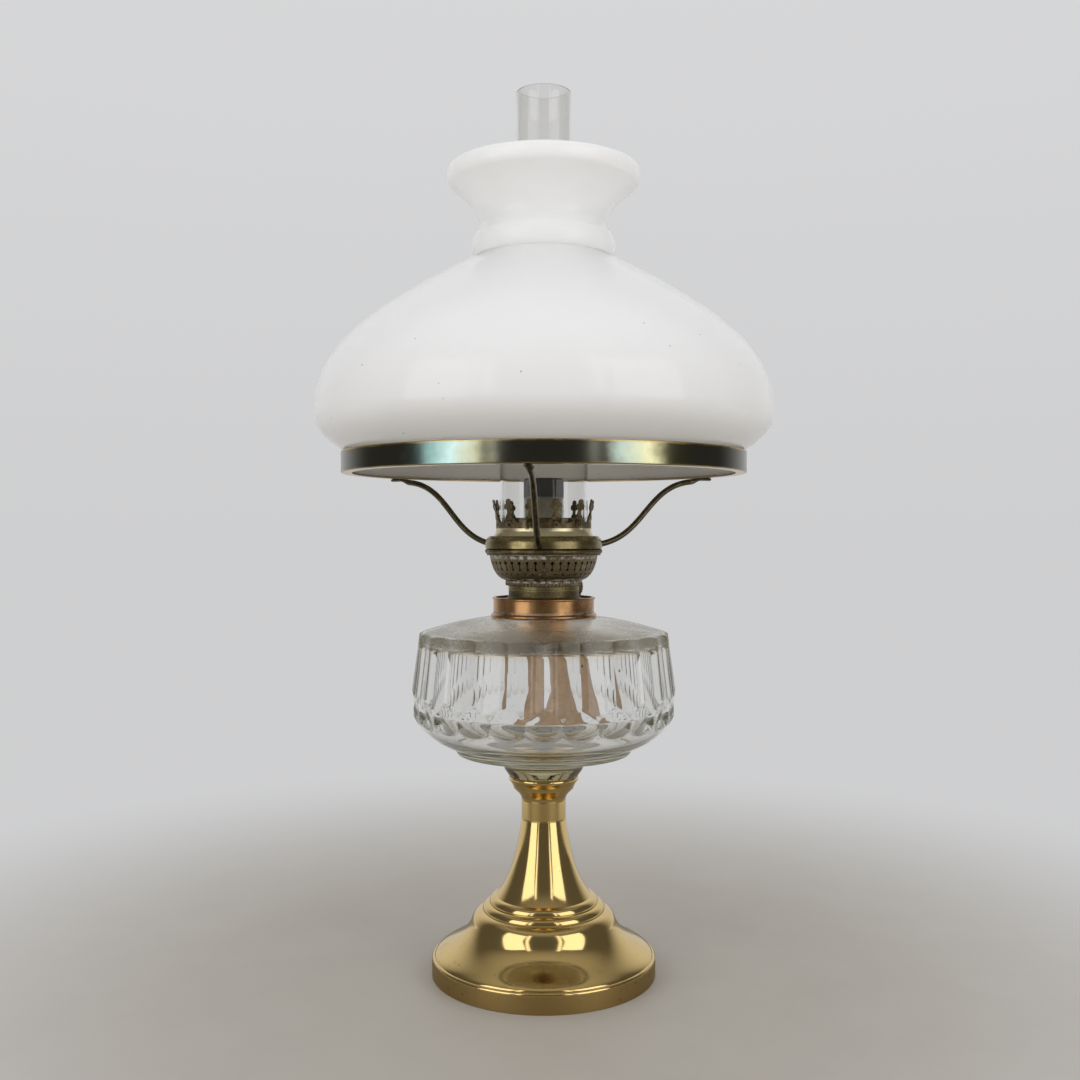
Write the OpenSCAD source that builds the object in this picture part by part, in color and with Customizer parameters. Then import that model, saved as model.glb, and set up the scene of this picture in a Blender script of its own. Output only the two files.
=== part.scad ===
// Kerosene table lamp: brass foot, faceted glass font, round-wick burner, clear chimney
// and a white glass shade on a three-armed holder. Millimetres, +Z up, the table at z = 0.

/* [Foot] */
// Diameter of the foot's rim
foot_d = 133; // [120:1:146]
// Height of the rim band
foot_rim_h = 12; // [10:0.5:15]
// Rounding of the rim band's upper edge
foot_rim_round = 1.6; // [1.3:0.1:2.4]
// Sheet thickness of the spun foot
foot_wall = 1; // [0.6:0.1:1.2]
// Width of the lip that is turned in under the rim
foot_lip_w = 4; // [3:0.5:6]
// Diameter of the bell's shoulder
bell_d = 85.2; // [80:0.4:94]
// Height of the bell's shoulder
bell_h = 32.6; // [29:0.1:36]
// How far the shoulder rounds in and up to the first bead
bell_round = 6; // [5:0.1:7.5]
// Height and width of each of the two beads above the bell
bead_step = 4.1; // [3.2:0.1:4.6]
// How far each bead bulges
bead_bulge = 1.2; // [0.8:0.1:1.6]
// Height of the foot with its stem
foot_h = 91.7; // [86:0.1:104]
// Depth of the ballast weight
weight_h = 26; // [20:0.5:29]
// Thickness of the felt under the weight
felt_t = 0.8; // [0.4:0.1:0.9]

/* [Cup and tie rod] */
// Diameter of the sleeve between stem and cup
sleeve_d = 26.5; // [25:0.5:29]
// Height of the sleeve
sleeve_h = 12; // [9:0.5:18]
// Sheet thickness of the sleeve and the cup
cup_wall = 1.2; // [0.8:0.1:1.4]
// Diameter over the cup's rim
cup_d = 42.4; // [40:0.2:45]
// Height of the cup
cup_h = 13.8; // [12.5:0.1:16]
// Thickness of the cup's floor
cup_floor = 2.6; // [2:0.1:3.4]
// Diameter of the boss under the cup's floor
boss_d = 16; // [13:0.5:19]
// Length of the boss under the cup's floor
boss_h = 7; // [5:0.5:8.5]
// Diameter of the tie rod
rod_d = 8; // [6:0.5:9]
// Thickness of the tie rod's nut
nut_t = 6.5; // [5:0.1:7]
// Width across the nut's flats
nut_w = 13; // [12:0.5:15]
// Diameter of the washer above the nut
washer_d = 22; // [18:0.5:25]
// Thickness of the washer
washer_t = 1.6; // [1:0.1:2]

/* [Font] */
// Diameter over the panels' edges at the widest level
font_d = 157.4; // [148:0.2:166]
// Diameter over the panels' edges at the shoulder
font_shoulder_d = 149; // [144:0.2:154]
// Number of panels round the font
font_panels = 24; // [20:2:28]
// Radius of the shallow hollow in each panel
panel_r = 80; // [60:5:200]
// Radius of the hollow flutes below the panels
flute_r = 30; // [26:1:40]
// Lean of a flute towards the lamp's axis, in degrees
flute_lean = 14.8; // [13:0.2:17]
// Glass thickness at the side
font_wall = 5; // [4:0.1:6]
// Glass thickness of the floor
font_floor = 7.5; // [6:0.1:10]
// Height of glass between the cup's rim and the bowl's underside
peg_show = 13.8; // [12:0.1:17]
// Depth of the peg that sits in the cup
peg_depth = 9; // [7.5:0.1:9.5]
// Layer of plaster round the peg and round the glass neck
cement_t = 0.7; // [0.5:0.1:0.9]
// Diameter over the ridge under the bowl
ridge_d = 104.5; // [98:0.5:108]
// Height of the ridge
ridge_h = 3.6; // [3:0.1:4.4]
// Height from the bowl's underside to the widest level
bowl_h = 37; // [35:0.5:41]
// Height from the widest level to the top of the panels
panel_h = 33; // [28:0.5:40]
// Height from the top of the panels to the collar
shoulder_h = 11; // [9:0.5:14]

/* [Collar] */
// Diameter of the collar
collar_d = 60; // [58.4:0.1:63]
// Height of the collar
collar_h = 11.8; // [11:0.1:14]
// Sheet thickness of the collar
collar_wall = 1.2; // [0.8:0.1:1.4]
// Depth of the recess in which the burner's flange sits
recess_h = 3.6; // [3:0.1:4.2]
// Diameter of the threaded bore
thread_d = 48; // [46:0.1:48.6]
// Thickness of the beads round the collar
collar_bead = 2.2; // [1.6:0.1:2.6]

/* [Burner] */
// Thickness of the sealing washer under the burner
gasket_t = 1; // [0.6:0.1:1.4]
// Thickness of the burner's flange
flange_t = 1.2; // [0.8:0.1:1.6]
// Depth of the burner's screw spigot
spigot_h = 7.6; // [6.6:0.1:8]
// Diameter of the neck below the basket
neck_d = 41.8; // [41:0.1:43]
// Height of the neck, with the flange
neck_h = 9.4; // [8.8:0.1:11]
// Sheet thickness of the neck
neck_wall = 1; // [0.7:0.1:1.2]
// Diameter over the serrated ring above the neck
rope_d = 45.8; // [45:0.1:47]
// Height of the serrated ring
rope_h = 3; // [2.4:0.1:3.6]
// Number of teeth on the serrated ring
rope_teeth = 60; // [40:2:72]
// Sheet thickness of the basket, the dome and the crown
sheet_t = 0.8; // [0.6:0.1:1]
// Diameter of the basket below its rim
basket_d = 64.2; // [63:0.1:65]
// Height of the basket
basket_h = 15.8; // [14.6:0.1:17]
// Number of keyhole openings round the basket, always even
basket_holes = 40; // [30:2:44]
// Diameter of the upper basket holes
hole_d = 1.9; // [1.5:0.1:2.2]
// Diameter over the rim bead on which the shade holder rests
rim_d = 70.2; // [69.6:0.1:74]
// Height of the rim bead
rim_h = 3; // [2.4:0.1:3.6]
// Diameter of the dome's wall inside the shade holder
seat_d = 62.4; // [62:0.1:63]
// Height of the dome above its rim
dome_h = 11.3; // [10.8:0.1:16]
// Diameter of the crown that holds the chimney
crown_d = 56.8; // [56:0.1:58]
// Height of the crown with its prongs
crown_h = 18; // [16:0.5:22]
// Height of the crown's plain band below the scallops
crown_band_h = 6.8; // [6:0.1:8]
// Number of prongs, always even
crown_prongs = 12; // [10:2:14]
// How far the outward prongs lean out
crown_flare = 2.6; // [1.6:0.1:3]
// Diameter of the draft cone's upper rim
cone_d = 34.6; // [31:0.2:37]
// Height of the draft cone
cone_h = 7.8; // [6:0.1:10]

/* [Wick and winder] */
// Outside diameter of the wick tube
tube_d = 23.9; // [23.4:0.1:24.6]
// Sheet thickness of the wick tube and the draft tube
tube_wall = 0.5; // [0.4:0.05:0.6]
// Height of the wick tube above the basket's floor
tube_h = 59.6; // [54:0.1:66]
// Thickness of the woven wick
wick_t = 1.6; // [1.2:0.1:2]
// How far the wick stands out of its tube
wick_show = 0.9; // [0:0.1:2]
// Length of wick below the basket's floor
wick_tail = 86; // [76:0.5:88]
// Width of the air duct that carries the draft tube
duct_w = 5; // [4:0.1:5.4]
// Height of the air duct
duct_h = 12; // [8:0.5:16]
// Height of the air duct above the basket's floor
duct_rise = 12; // [10:0.5:18]
// Diameter of the winder's spindle
spindle_d = 3; // [2.4:0.1:3.2]
// Depth of the spindle's axis below the basket's floor
spindle_drop = 5.4; // [5.3:0.1:5.6]
// Distance between the two toothed wheels
wheel_pitch = 6.4; // [5.4:0.1:7]
// Thickness of a toothed wheel
wheel_t = 1.2; // [0.8:0.1:1.6]
// Number of teeth on a wheel
wheel_teeth = 10; // [8:1:12]
// Outside diameter of the spindle's bush
bush_d = 4.4; // [4.2:0.1:4.6]
// How far the bush stands out of the neck
bush_out = 5; // [3:0.5:8]
// Diameter of the winder's knob
knob_d = 19.5; // [16:0.5:20]
// Thickness of the winder's knob
knob_t = 4; // [3:0.1:5]
// Distance from the lamp's axis to the knob's near face
knob_reach = 32.4; // [31.5:0.1:38]
// Number of notches round the knob
knob_notches = 36; // [24:2:44]

/* [Chimney] */
// Diameter of the chimney's lower part
chimney_d = 52.5; // [51.6:0.1:53.4]
// Height of the chimney
chimney_h = 260; // [236:1:280]
// Glass thickness of the chimney
chimney_wall = 1.8; // [1.4:0.1:2]
// Height of the chimney's wide part
chimney_wide_h = 62; // [54:0.5:72]
// Height of the drawn-in shoulder above the wide part
chimney_waist_h = 11; // [9:0.5:16]
// Diameter just above the drawn-in shoulder
chimney_waist_d = 35; // [33:0.2:38]
// Diameter at the chimney's top
chimney_top_d = 32.8; // [31:0.2:34]

/* [Shade holder] */
// Diameter over the holder's base ring
base_ring_d = 69.6; // [68.6:0.1:70]
// Height of the holder's base ring
base_ring_h = 6.4; // [5.4:0.1:7]
// Height of the shade ring above the seat of the base ring
ring_rise = 44.3; // [38:0.1:52]
// Diameter over the shade ring
ring_d = 239; // [232:0.5:250]
// Height of the shade ring's band
ring_h = 12.5; // [11:0.1:14]
// Sheet thickness of the shade ring
ring_t = 0.9; // [0.7:0.1:1.2]
// Width of the ledge that carries the shade
ring_ledge = 6.3; // [5:0.1:8]
// Direction of the front arm, counted from +X
arm_turn = -94; // [-130:1:-60]
// Thickness of an arm
arm_d = 3.6; // [3:0.1:4.2]
// Width of an arm's flattened foot under the ring
arm_foot_w = 5.4; // [4.4:0.1:7]
// Thickness of an arm's flattened foot
arm_foot_t = 1.9; // [1.5:0.1:2.4]

/* [Shade] */
// Largest diameter of the shade
shade_d = 270; // [262:1:280]
// Height of the shade
shade_h = 180.3; // [172:0.1:192]
// Glass thickness of the shade
shade_wall = 2.6; // [2:0.1:3]
// How far the shade's straight rim stands above its ring
shade_rim_over = 0.4; // [0.3:0.1:2]
// Height of the largest diameter above the rim's edge
shade_wide_h = 33.6; // [30:0.1:38]
// Height of the bead's lower crease above the rim's edge
shade_bead_z = 127; // [122:0.1:132]
// Diameter in the bead's lower crease
shade_crease_d = 82.4; // [80:0.2:85]
// Height of the bead below the neck
shade_bead_h = 15.2; // [13:0.1:17]
// Diameter over the bead
shade_bead_d = 85.8; // [84.8:0.1:89]
// Diameter of the neck
shade_neck_d = 76.4; // [74:0.2:78]
// Diameter over the lip
shade_lip_d = 115.2; // [110:0.2:120]
// Height of the lip
shade_lip_h = 10.2; // [9:0.1:12]

/* [Clearances] */
// Gap under a piece that can be lifted off its flat seat
seat_gap = 0.1; // [0.05:0.01:0.2]
// Gap at the side of a piece that can be lifted off
side_gap = 0.4; // [0.3:0.05:0.5]
// Gap between the shade's rim and its ring
shade_gap = 0.9; // [0.5:0.1:1.5]
// Running clearance of the screw and the spindle
running_gap = 0.08; // [0.05:0.01:0.1]
// Gap on each side of the wick
wick_gap = 0.25; // [0.2:0.05:0.35]
// Gap left between pieces that are soldered or pressed together
joint_gap = 0.03; // [0.02:0.01:0.06]

/* [Hidden] */

$fn = 96;
curve_n = 14;
eps = 0.01;

// Levels, from the table up
z_stem = foot_h;
z_cup = z_stem + sleeve_h;
z_cup_rim = z_cup + cup_h;
z_bowl = z_cup_rim + peg_show;
z_wide = z_bowl + bowl_h;
z_shoulder = z_wide + panel_h;
z_collar = z_shoulder + shoulder_h;
z_collar_top = z_collar + collar_h;
z_seat = z_collar_top - recess_h;
z_gasket = z_seat + seat_gap;
z_burner = z_gasket + gasket_t + seat_gap;
z_neck_top = z_burner + neck_h;
z_floor = z_neck_top + rope_h;
z_rim = z_floor + basket_h;
z_holder = z_rim + rim_h;
z_gallery = z_holder + dome_h;
z_spindle = z_floor - spindle_drop;
z_tube_top = z_floor + tube_h;
z_chimney = z_gallery + seat_gap;
z_ring = z_holder + ring_rise;
z_shade = z_ring + ring_t + seat_gap;

// Radii and places that follow from the sizes above
foot_r = foot_d / 2;
bell_r = bell_d / 2;
sleeve_r = sleeve_d / 2;
cup_r = cup_d / 2;
rod_r = rod_d / 2;
weight_z = foot_wall + joint_gap;
weight_gap = 0.7;
bore_gap = 1;
bore_r = washer_d / 2 + bore_gap;
bore_h = nut_t + washer_t + 2 * bore_gap;
rod_stand = 0.5;
z_washer = weight_z + bore_h - washer_t - joint_gap;
z_nut = z_washer - nut_t - joint_gap;
collar_r = collar_d / 2;
thread_r = thread_d / 2;
glass_neck_ro = collar_r - collar_wall - cement_t;
glass_neck_ri = thread_r + collar_wall + cement_t;
glass_neck_top = z_seat - collar_wall - cement_t;
neck_r = neck_d / 2;
neck_ri = neck_r - neck_wall;
flange_margin = 0.8;
flange_r = collar_r - collar_wall - side_gap - flange_margin;
rope_r = rope_d / 2;
rope_tooth = 0.7;
basket_r = basket_d / 2;
rim_r = rim_d / 2;
seat_r = seat_d / 2;
crown_r = crown_d / 2;
ledge_w = 4;
ledge_ri = crown_r - ledge_w;
tube_r = tube_d / 2;
wick_ro = tube_r - tube_wall - wick_gap;
wick_ri = wick_ro - wick_t;
draft_ro = wick_ri - wick_gap;
z_duct = z_floor + duct_rise;
duct_out = 1.2;
draft_drop = 1;
spindle_r = spindle_d / 2;
wheel_y = wheel_pitch / 2;
wheel_in = sqrt(pow(wick_ro, 2) - pow(wheel_y - wheel_t / 2, 2)) + wick_gap;
wheel_out = sqrt(pow(neck_ri, 2) - pow(wheel_y + wheel_t / 2, 2)) - side_gap;
spindle_x = (wheel_in + wheel_out) / 2;
wheel_r = (wheel_out - wheel_in) / 2;
wheel_tooth = 1.1;
knob_tooth = 0.6;
knob_hub_h = 1.5;
knob_hub_wall = 1.6;
bush_end = sqrt(pow(neck_r, 2) - pow(spindle_x, 2)) + bush_out;
bush_start = wheel_y + wheel_t / 2 + side_gap;
arm_count = 3;
ring_r = ring_d / 2;
base_ring_r = base_ring_d / 2;
base_ring_ri = seat_r + side_gap;
shade_rim_r = ring_r - ring_t - shade_gap;
shade_rim_h = ring_h - ring_t - seat_gap + shade_rim_over;

// A cubic curve from p0 to p3
function curve(p0, p1, p2, p3, n = curve_n) = [
    for (i = [0:n])
        let (t = i / n, u = 1 - t)
        u * u * u * p0 + 3 * u * u * t * p1 + 3 * u * t * t * p2 + t * t * t * p3
];

// A circular arc round c
function arc(c, r, from, to, n = 6) = [
    for (i = [0:n]) let (a = from + (to - from) * i / n) c + r * [cos(a), sin(a)]
];

// A circular arc from a to b that bulges by h to the right of its way
function bulge(a, b, h, n = 8) =
    let (
        way = b - a,
        half = norm(way) / 2,
        r = (half * half + h * h) / (2 * h),
        side = [way.y, -way.x] / norm(way),
        c = (a + b) / 2 - side * (r - h),
        from = atan2(a.y - c.y, a.x - c.x),
        turn = 2 * asin(min(1, half / r)),
        span = h > half ? 360 - turn : turn
    )
    arc(c, r, from, from + span, n);

// The same path moved by d to the left of its way
function inset(path, d) = [
    for (i = [0:len(path) - 1])
        let (
            last = len(path) - 1,
            way = path[min(i + 1, last)] - path[max(i - 1, 0)],
            t = way / norm(way)
        )
        path[i] + d * [-t.y, t.x]
];

function reversed(path) = [for (i = [len(path) - 1:-1:0]) path[i]];
function after_first(path) = [for (i = [1:len(path) - 1]) path[i]];
function between(a, b, share) = a + (b - a) * share;

// A wheel outline with n teeth between two radii
function star(n, r_low, r_high) = [
    for (i = [0:2 * n - 1])
        let (a = 180 * i / n, r = i % 2 == 0 ? r_high : r_low)
        r * [cos(a), sin(a)]
];

module turned(outline) {
    rotate_extrude() polygon(outline);
}

module tube(r_out, r_in, z, h) {
    translate([0, 0, z]) difference() {
        cylinder(r = r_out, h = h);
        translate([0, 0, -eps]) cylinder(r = r_in, h = h + 2 * eps);
    }
}

// A flat outline, x sideways and y up, extruded along direction a between two distances from the axis
module outwards(a, from, to) {
    rotate([0, 0, a])
        translate([from, 0, 0])
            rotate([90, 0, 90])
                linear_extrude(height = to - from) children();
}

// The foot's outer curves, from the rim up to the sleeve
flare_start = [foot_r - foot_rim_round, foot_rim_h];
bell_edge = [bell_r, bell_h];
groove_low = bell_edge + [-bell_round, bell_round];
groove_mid = groove_low + [-bead_step, bead_step];
groove_top = groove_mid + [-bead_step, bead_step];
stem_end = [sleeve_r, z_stem];

rim_edge = arc([foot_r - foot_rim_round, foot_rim_h - foot_rim_round], foot_rim_round, 0, 90);
flare = curve(
    flare_start,
    [between(flare_start.x, bell_r, 0.1), between(flare_start.y, bell_h, 0.33)],
    [between(flare_start.x, bell_r, 0.85), between(flare_start.y, bell_h, 0.21)],
    bell_edge
);
shoulder = curve(
    bell_edge,
    bell_edge + bell_round * [-0.11, 0.54],
    groove_low + bell_round * [0.5, -0.12],
    groove_low,
    8
);
stem = curve(
    groove_top,
    [between(groove_top.x, stem_end.x, 0.53), between(groove_top.y, stem_end.y, 0.23)],
    [between(groove_top.x, stem_end.x, 0.77), between(groove_top.y, stem_end.y, 0.48)],
    stem_end
);

module foot_shell() {
    outer = concat(
        [[foot_r, 0]], rim_edge, after_first(flare), after_first(shoulder),
        after_first(bulge(groove_low, groove_mid, bead_bulge)),
        after_first(bulge(groove_mid, groove_top, bead_bulge)), after_first(stem)
    );
    plain = concat([[foot_r, foot_wall]], rim_edge, after_first(flare), after_first(shoulder), stem);
    color("goldenrod") turned(concat(
        outer, reversed(inset(plain, foot_wall)),
        [[foot_r - foot_lip_w, foot_wall], [foot_r - foot_lip_w, 0]]
    ));
}

module foot_weight() {
    side = inset(flare, foot_wall + weight_gap);
    kept = [for (p = side) if (p.y < weight_z + weight_h) p];
    top = weight_z + weight_h;
    color("dimgray") difference() {
        turned(concat(
            [[0, weight_z], [kept[0].x, weight_z]], kept,
            [[kept[len(kept) - 1].x, top], [0, top]]
        ));
        translate([0, 0, weight_z - eps]) cylinder(r = bore_r, h = bore_h + eps);
        cylinder(r = rod_r + joint_gap, h = top + eps);
    }
}

module foot_felt() {
    color("darkolivegreen")
        translate([0, 0, weight_z - joint_gap - felt_t])
            cylinder(r = foot_r - foot_lip_w - side_gap, h = felt_t);
}

module tie_rod() {
    z = z_nut - rod_stand;
    color("slategray") translate([0, 0, z]) cylinder(r = rod_r, h = z_cup + cup_floor / 2 - z);
}

module tie_nut() {
    color("silver") translate([0, 0, z_nut]) difference() {
        cylinder(d = nut_w / cos(30), h = nut_t, $fn = 6);
        translate([0, 0, -eps]) cylinder(r = rod_r + joint_gap, h = nut_t + 2 * eps);
    }
}

module tie_washer() {
    color("silver") tube(washer_d / 2, rod_r + side_gap, z_washer, washer_t);
}

module stem_sleeve() {
    bead = 0.8;
    wall = [
        [sleeve_r - cup_wall, z_stem + joint_gap], [sleeve_r, z_stem + joint_gap],
        [sleeve_r, z_cup - joint_gap], [sleeve_r - cup_wall, z_cup - joint_gap]
    ];
    color("goldenrod") union() {
        turned(wall);
        turned(concat(
            [[sleeve_r - cup_wall / 2, z_stem + joint_gap]],
            bulge([sleeve_r, z_stem + joint_gap], [sleeve_r, z_stem + joint_gap + bead], bead / 2, 6),
            [[sleeve_r - cup_wall / 2, z_stem + joint_gap + bead]]
        ));
    }
}

// The cup's outer curve: a lower bell, a step, an upper flare and a rounded rim
cup_step = 0.44 * cup_h;
cup_rim_h = 2.6;
cup_lip_w = 0.5;
cup_crease = 0.3;
cement_drop = 0.3;
cup_side = concat(
    curve(
        [sleeve_r, z_cup], [sleeve_r + 0.2, z_cup + 0.5 * cup_step],
        [between(sleeve_r, cup_r, 0.35), z_cup + 0.75 * cup_step],
        [between(sleeve_r, cup_r, 0.52), z_cup + cup_step], 8
    ),
    [[between(sleeve_r, cup_r, 0.6), z_cup + cup_step + cup_crease]],
    curve(
        [between(sleeve_r, cup_r, 0.6), z_cup + cup_step + 2 * cup_crease],
        [between(sleeve_r, cup_r, 0.66), between(z_cup + cup_step, z_cup_rim - cup_rim_h, 0.5)],
        [between(sleeve_r, cup_r, 0.78), between(z_cup + cup_step, z_cup_rim - cup_rim_h, 0.8)],
        [between(sleeve_r, cup_r, 0.9), z_cup_rim - cup_rim_h], 6
    )
);
cup_lip = bulge(
    [between(sleeve_r, cup_r, 0.9), z_cup_rim - cup_rim_h], [cup_r - cup_lip_w, z_cup_rim],
    cup_lip_w, 6
);
cup_bore_r = cup_r - cup_lip_w - cup_wall;
cup_bore_low_r = sleeve_r - 0.2 * cup_wall;
z_cup_floor = z_cup + cup_floor;

module font_cup() {
    color("goldenrod") difference() {
        union() {
            turned(concat([[0, z_cup]], cup_side, after_first(cup_lip), [[0, z_cup_rim]]));
            translate([0, 0, z_cup - boss_h]) cylinder(d = boss_d, h = boss_h + eps);
        }
        turned([
            [0, z_cup_floor], [cup_bore_low_r, z_cup_floor], [cup_bore_r, z_cup_rim - cup_rim_h],
            [cup_bore_r, z_cup_rim + eps], [0, z_cup_rim + eps]
        ]);
        translate([0, 0, z_cup - boss_h - eps])
            cylinder(r = rod_r + joint_gap, h = boss_h + cup_floor / 2 + joint_gap + eps);
    }
}

// The peg's outline inside the cup, a plaster layer away from the cup's bore
peg_low = z_cup_rim - peg_depth;
peg_low_r = cup_bore_low_r - cement_t;
peg_top_r = cup_bore_r - cement_t;

module peg_cement() {
    color("gainsboro") difference() {
        turned([
            [0, z_cup_floor + joint_gap], [cup_bore_low_r - joint_gap, z_cup_floor + joint_gap],
            [cup_bore_r - joint_gap, z_cup_rim - cup_rim_h],
            [cup_bore_r - joint_gap, z_cup_rim - cement_drop],
            [0, z_cup_rim - cement_drop]
        ]);
        turned([
            [0, peg_low - joint_gap], [peg_low_r + joint_gap, peg_low - joint_gap],
            [peg_top_r + joint_gap, z_cup_rim - cup_rim_h], [peg_top_r + joint_gap, z_cup_rim + eps],
            [0, z_cup_rim + eps]
        ]);
    }
}

// The font's outer curves. Its turned body stands proud of the panels that are cut into it
proud = 1.5;
ridge_r = ridge_d / 2;
edge_r = font_d / 2;
shoulder_r = font_shoulder_d / 2;
peg_flare_r = cup_r + 2.2;
peg_flare_z = z_cup_rim + 0.31 * peg_show;
under_r = between(peg_flare_r, ridge_r, 0.42);
ridge_in_r = ridge_r - 6;
bowl_start = [ridge_r + 0.5, z_bowl + ridge_h];
bowl_end = [edge_r + proud, z_wide];
shoulder_edge = [shoulder_r + proud, z_shoulder - 3];
roof_edge = [shoulder_r - 3.4, z_shoulder + 2.4];

bowl_curve = curve(
    bowl_start,
    [between(bowl_start.x, bowl_end.x, 0.4), between(bowl_start.y, bowl_end.y, 0.14)],
    [bowl_end.x + 0.2, between(bowl_start.y, bowl_end.y, 0.365)],
    bowl_end
);
side_curve = curve(
    bowl_end,
    [bowl_end.x, between(bowl_end.y, shoulder_edge.y, 0.4)],
    [between(bowl_end.x, shoulder_edge.x, 0.55), between(bowl_end.y, shoulder_edge.y, 0.78)],
    shoulder_edge,
    8
);
shoulder_curve = curve(
    shoulder_edge,
    [shoulder_edge.x - 0.6, between(shoulder_edge.y, roof_edge.y, 0.6)],
    [between(shoulder_edge.x, roof_edge.x, 0.4), roof_edge.y - 0.5],
    roof_edge,
    8
);
roof_curve = curve(
    roof_edge,
    [between(roof_edge.x, glass_neck_ro, 0.3), between(roof_edge.y, z_collar, 0.5)],
    [between(roof_edge.x, glass_neck_ro, 0.7), between(roof_edge.y, z_collar, 0.95)],
    [glass_neck_ro + 1.6, z_collar - joint_gap],
    8
);

module font_body() {
    turned(concat(
        [
            [0, peg_low], [peg_low_r, peg_low], [peg_top_r, z_cup_rim - cup_rim_h],
            [peg_top_r, z_cup_rim + 0.2], [cup_r - 0.4, z_cup_rim + 0.6]
        ],
        curve(
            [peg_flare_r, peg_flare_z],
            [peg_flare_r + 1.5, between(peg_flare_z, z_bowl, 0.55)],
            [between(peg_flare_r, under_r, 0.5), z_bowl + 0.5],
            [under_r, z_bowl + 0.6],
            8
        ),
        [[ridge_in_r, z_bowl + 0.6], [ridge_in_r + 0.6, z_bowl]],
        curve(
            [ridge_r - 3, z_bowl], [ridge_r - 1, z_bowl + 0.2],
            [ridge_r, z_bowl + 1], [ridge_r, z_bowl + 0.55 * ridge_h], 6
        ),
        bowl_curve, after_first(side_curve), after_first(shoulder_curve), after_first(roof_curve),
        [[glass_neck_ro, z_collar - joint_gap], [glass_neck_ro, glass_neck_top], [0, glass_neck_top]]
    ));
}

module font_cavity() {
    low = z_bowl + font_floor;
    side_low = [edge_r - font_wall, z_wide - 4];
    side_top = [shoulder_r - font_wall + 1, z_shoulder - font_wall - 3];
    roof_out = [side_top.x - 7, z_shoulder - font_wall + 2.4];
    roof_in = [glass_neck_ri + 4, z_collar - font_wall];
    turned(concat(
        [[0, low]],
        curve(
            [ridge_r - 8, low], [ridge_r + 6, low + 1],
            [side_low.x, low + 0.3 * (side_low.y - low)], side_low
        ),
        curve(
            side_top, [side_top.x, side_top.y + 3.5], [roof_out.x + 4, roof_out.y - 0.4], roof_out, 8
        ),
        curve(
            roof_in, [glass_neck_ri + 1.5, roof_in.y + 0.5],
            [glass_neck_ri, roof_in.y + 1.5], [glass_neck_ri, roof_in.y + 4], 6
        ),
        [[glass_neck_ri, glass_neck_top + eps], [0, glass_neck_top + eps]]
    ));
}

// Panels: shallow hollow cuts through the edges at the widest level and at the shoulder
module font_panel_cuts() {
    half = 180 / font_panels;
    lean = atan2(edge_r - shoulder_r, panel_h);
    length = panel_h + 26;
    depth = sqrt(pow(panel_r, 2) - pow(edge_r * sin(half), 2));
    for (i = [0:font_panels - 1])
        rotate([0, 0, -90 + half * (2 * i + 1)])
            translate([edge_r * cos(half), 0, z_wide])
                rotate([0, -lean, 0])
                    translate([depth, 0, -10])
                        cylinder(r = panel_r, h = length);
}

// Flutes: hollow cuts below the panels, half a panel further round
module font_flute_cuts() {
    half = 180 / font_panels;
    length = bowl_h + 8;
    for (i = [0:font_panels - 1])
        rotate([0, 0, -90 + half * 2 * i])
            translate([edge_r, 0, z_wide])
                rotate([0, flute_lean, 0])
                    translate([flute_r, 0, -length + 9])
                        cylinder(r = flute_r, h = length);
}

module font() {
    color([0.86, 0.9, 0.86, 0.45]) difference() {
        font_body();
        font_cavity();
        font_panel_cuts();
        font_flute_cuts();
    }
}

module collar_cement() {
    color("gainsboro") difference() {
        tube(
            collar_r - collar_wall - joint_gap, thread_r + collar_wall + joint_gap,
            z_collar + cement_drop, z_seat - collar_wall - joint_gap - z_collar - cement_drop
        );
        tube(
            glass_neck_ro + joint_gap, glass_neck_ri - joint_gap,
            z_collar, glass_neck_top + joint_gap - z_collar
        );
    }
}

module font_collar() {
    bead = collar_bead / 2;
    bead_root = 0.4;
    foot_bead_out = 0.6;
    skirt_r = collar_r - collar_wall;
    sleeve_low = z_collar + cement_t;
    color("sienna") union() {
        turned([
            [skirt_r, z_collar], [collar_r, z_collar],
            [collar_r, z_collar_top], [skirt_r, z_collar_top],
            [skirt_r, z_seat], [thread_r, z_seat], [thread_r, sleeve_low],
            [thread_r + collar_wall, sleeve_low], [thread_r + collar_wall, z_seat - collar_wall],
            [skirt_r, z_seat - collar_wall]
        ]);
        turned(concat(
            [[collar_r - bead_root, z_collar]],
            bulge(
                [collar_r + foot_bead_out, z_collar],
                [collar_r + foot_bead_out, z_collar + collar_bead], 0.8 * bead
            ),
            [[collar_r - bead_root, z_collar + 1.5 * collar_bead]]
        ));
        turned(concat(
            [[collar_r - bead_root, z_collar_top - 1.2 * bead]],
            bulge([collar_r, z_collar_top - 1.2 * bead], [collar_r, z_collar_top], 0.6 * bead, 6),
            [[collar_r - bead_root, z_collar_top]]
        ));
    }
}

module burner_gasket() {
    color("saddlebrown") tube(flange_r, thread_r + side_gap, z_gasket, gasket_t);
}

module spindle_bar(r, from, to) {
    translate([spindle_x, from, z_spindle]) rotate([-90, 0, 0]) cylinder(r = r, h = to - from);
}

module burner_base() {
    spigot_r = thread_r - running_gap;
    flare_z = z_burner + flange_t;
    color("darkkhaki") difference() {
        turned(concat(
            [
                [neck_ri, z_burner - spigot_h], [spigot_r, z_burner - spigot_h],
                [spigot_r, z_burner], [flange_r, z_burner], [flange_r, flare_z]
            ],
            curve(
                [neck_r + 4.4, flare_z], [neck_r + 1.5, flare_z + 0.2],
                [neck_r, flare_z + 1], [neck_r, flare_z + 3.2], 8
            ),
            [[neck_r, z_neck_top - joint_gap], [neck_ri, z_neck_top - joint_gap]]
        ));
        spindle_bar(bush_d / 2 + joint_gap, 0, bush_end + 4);
    }
}

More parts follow.
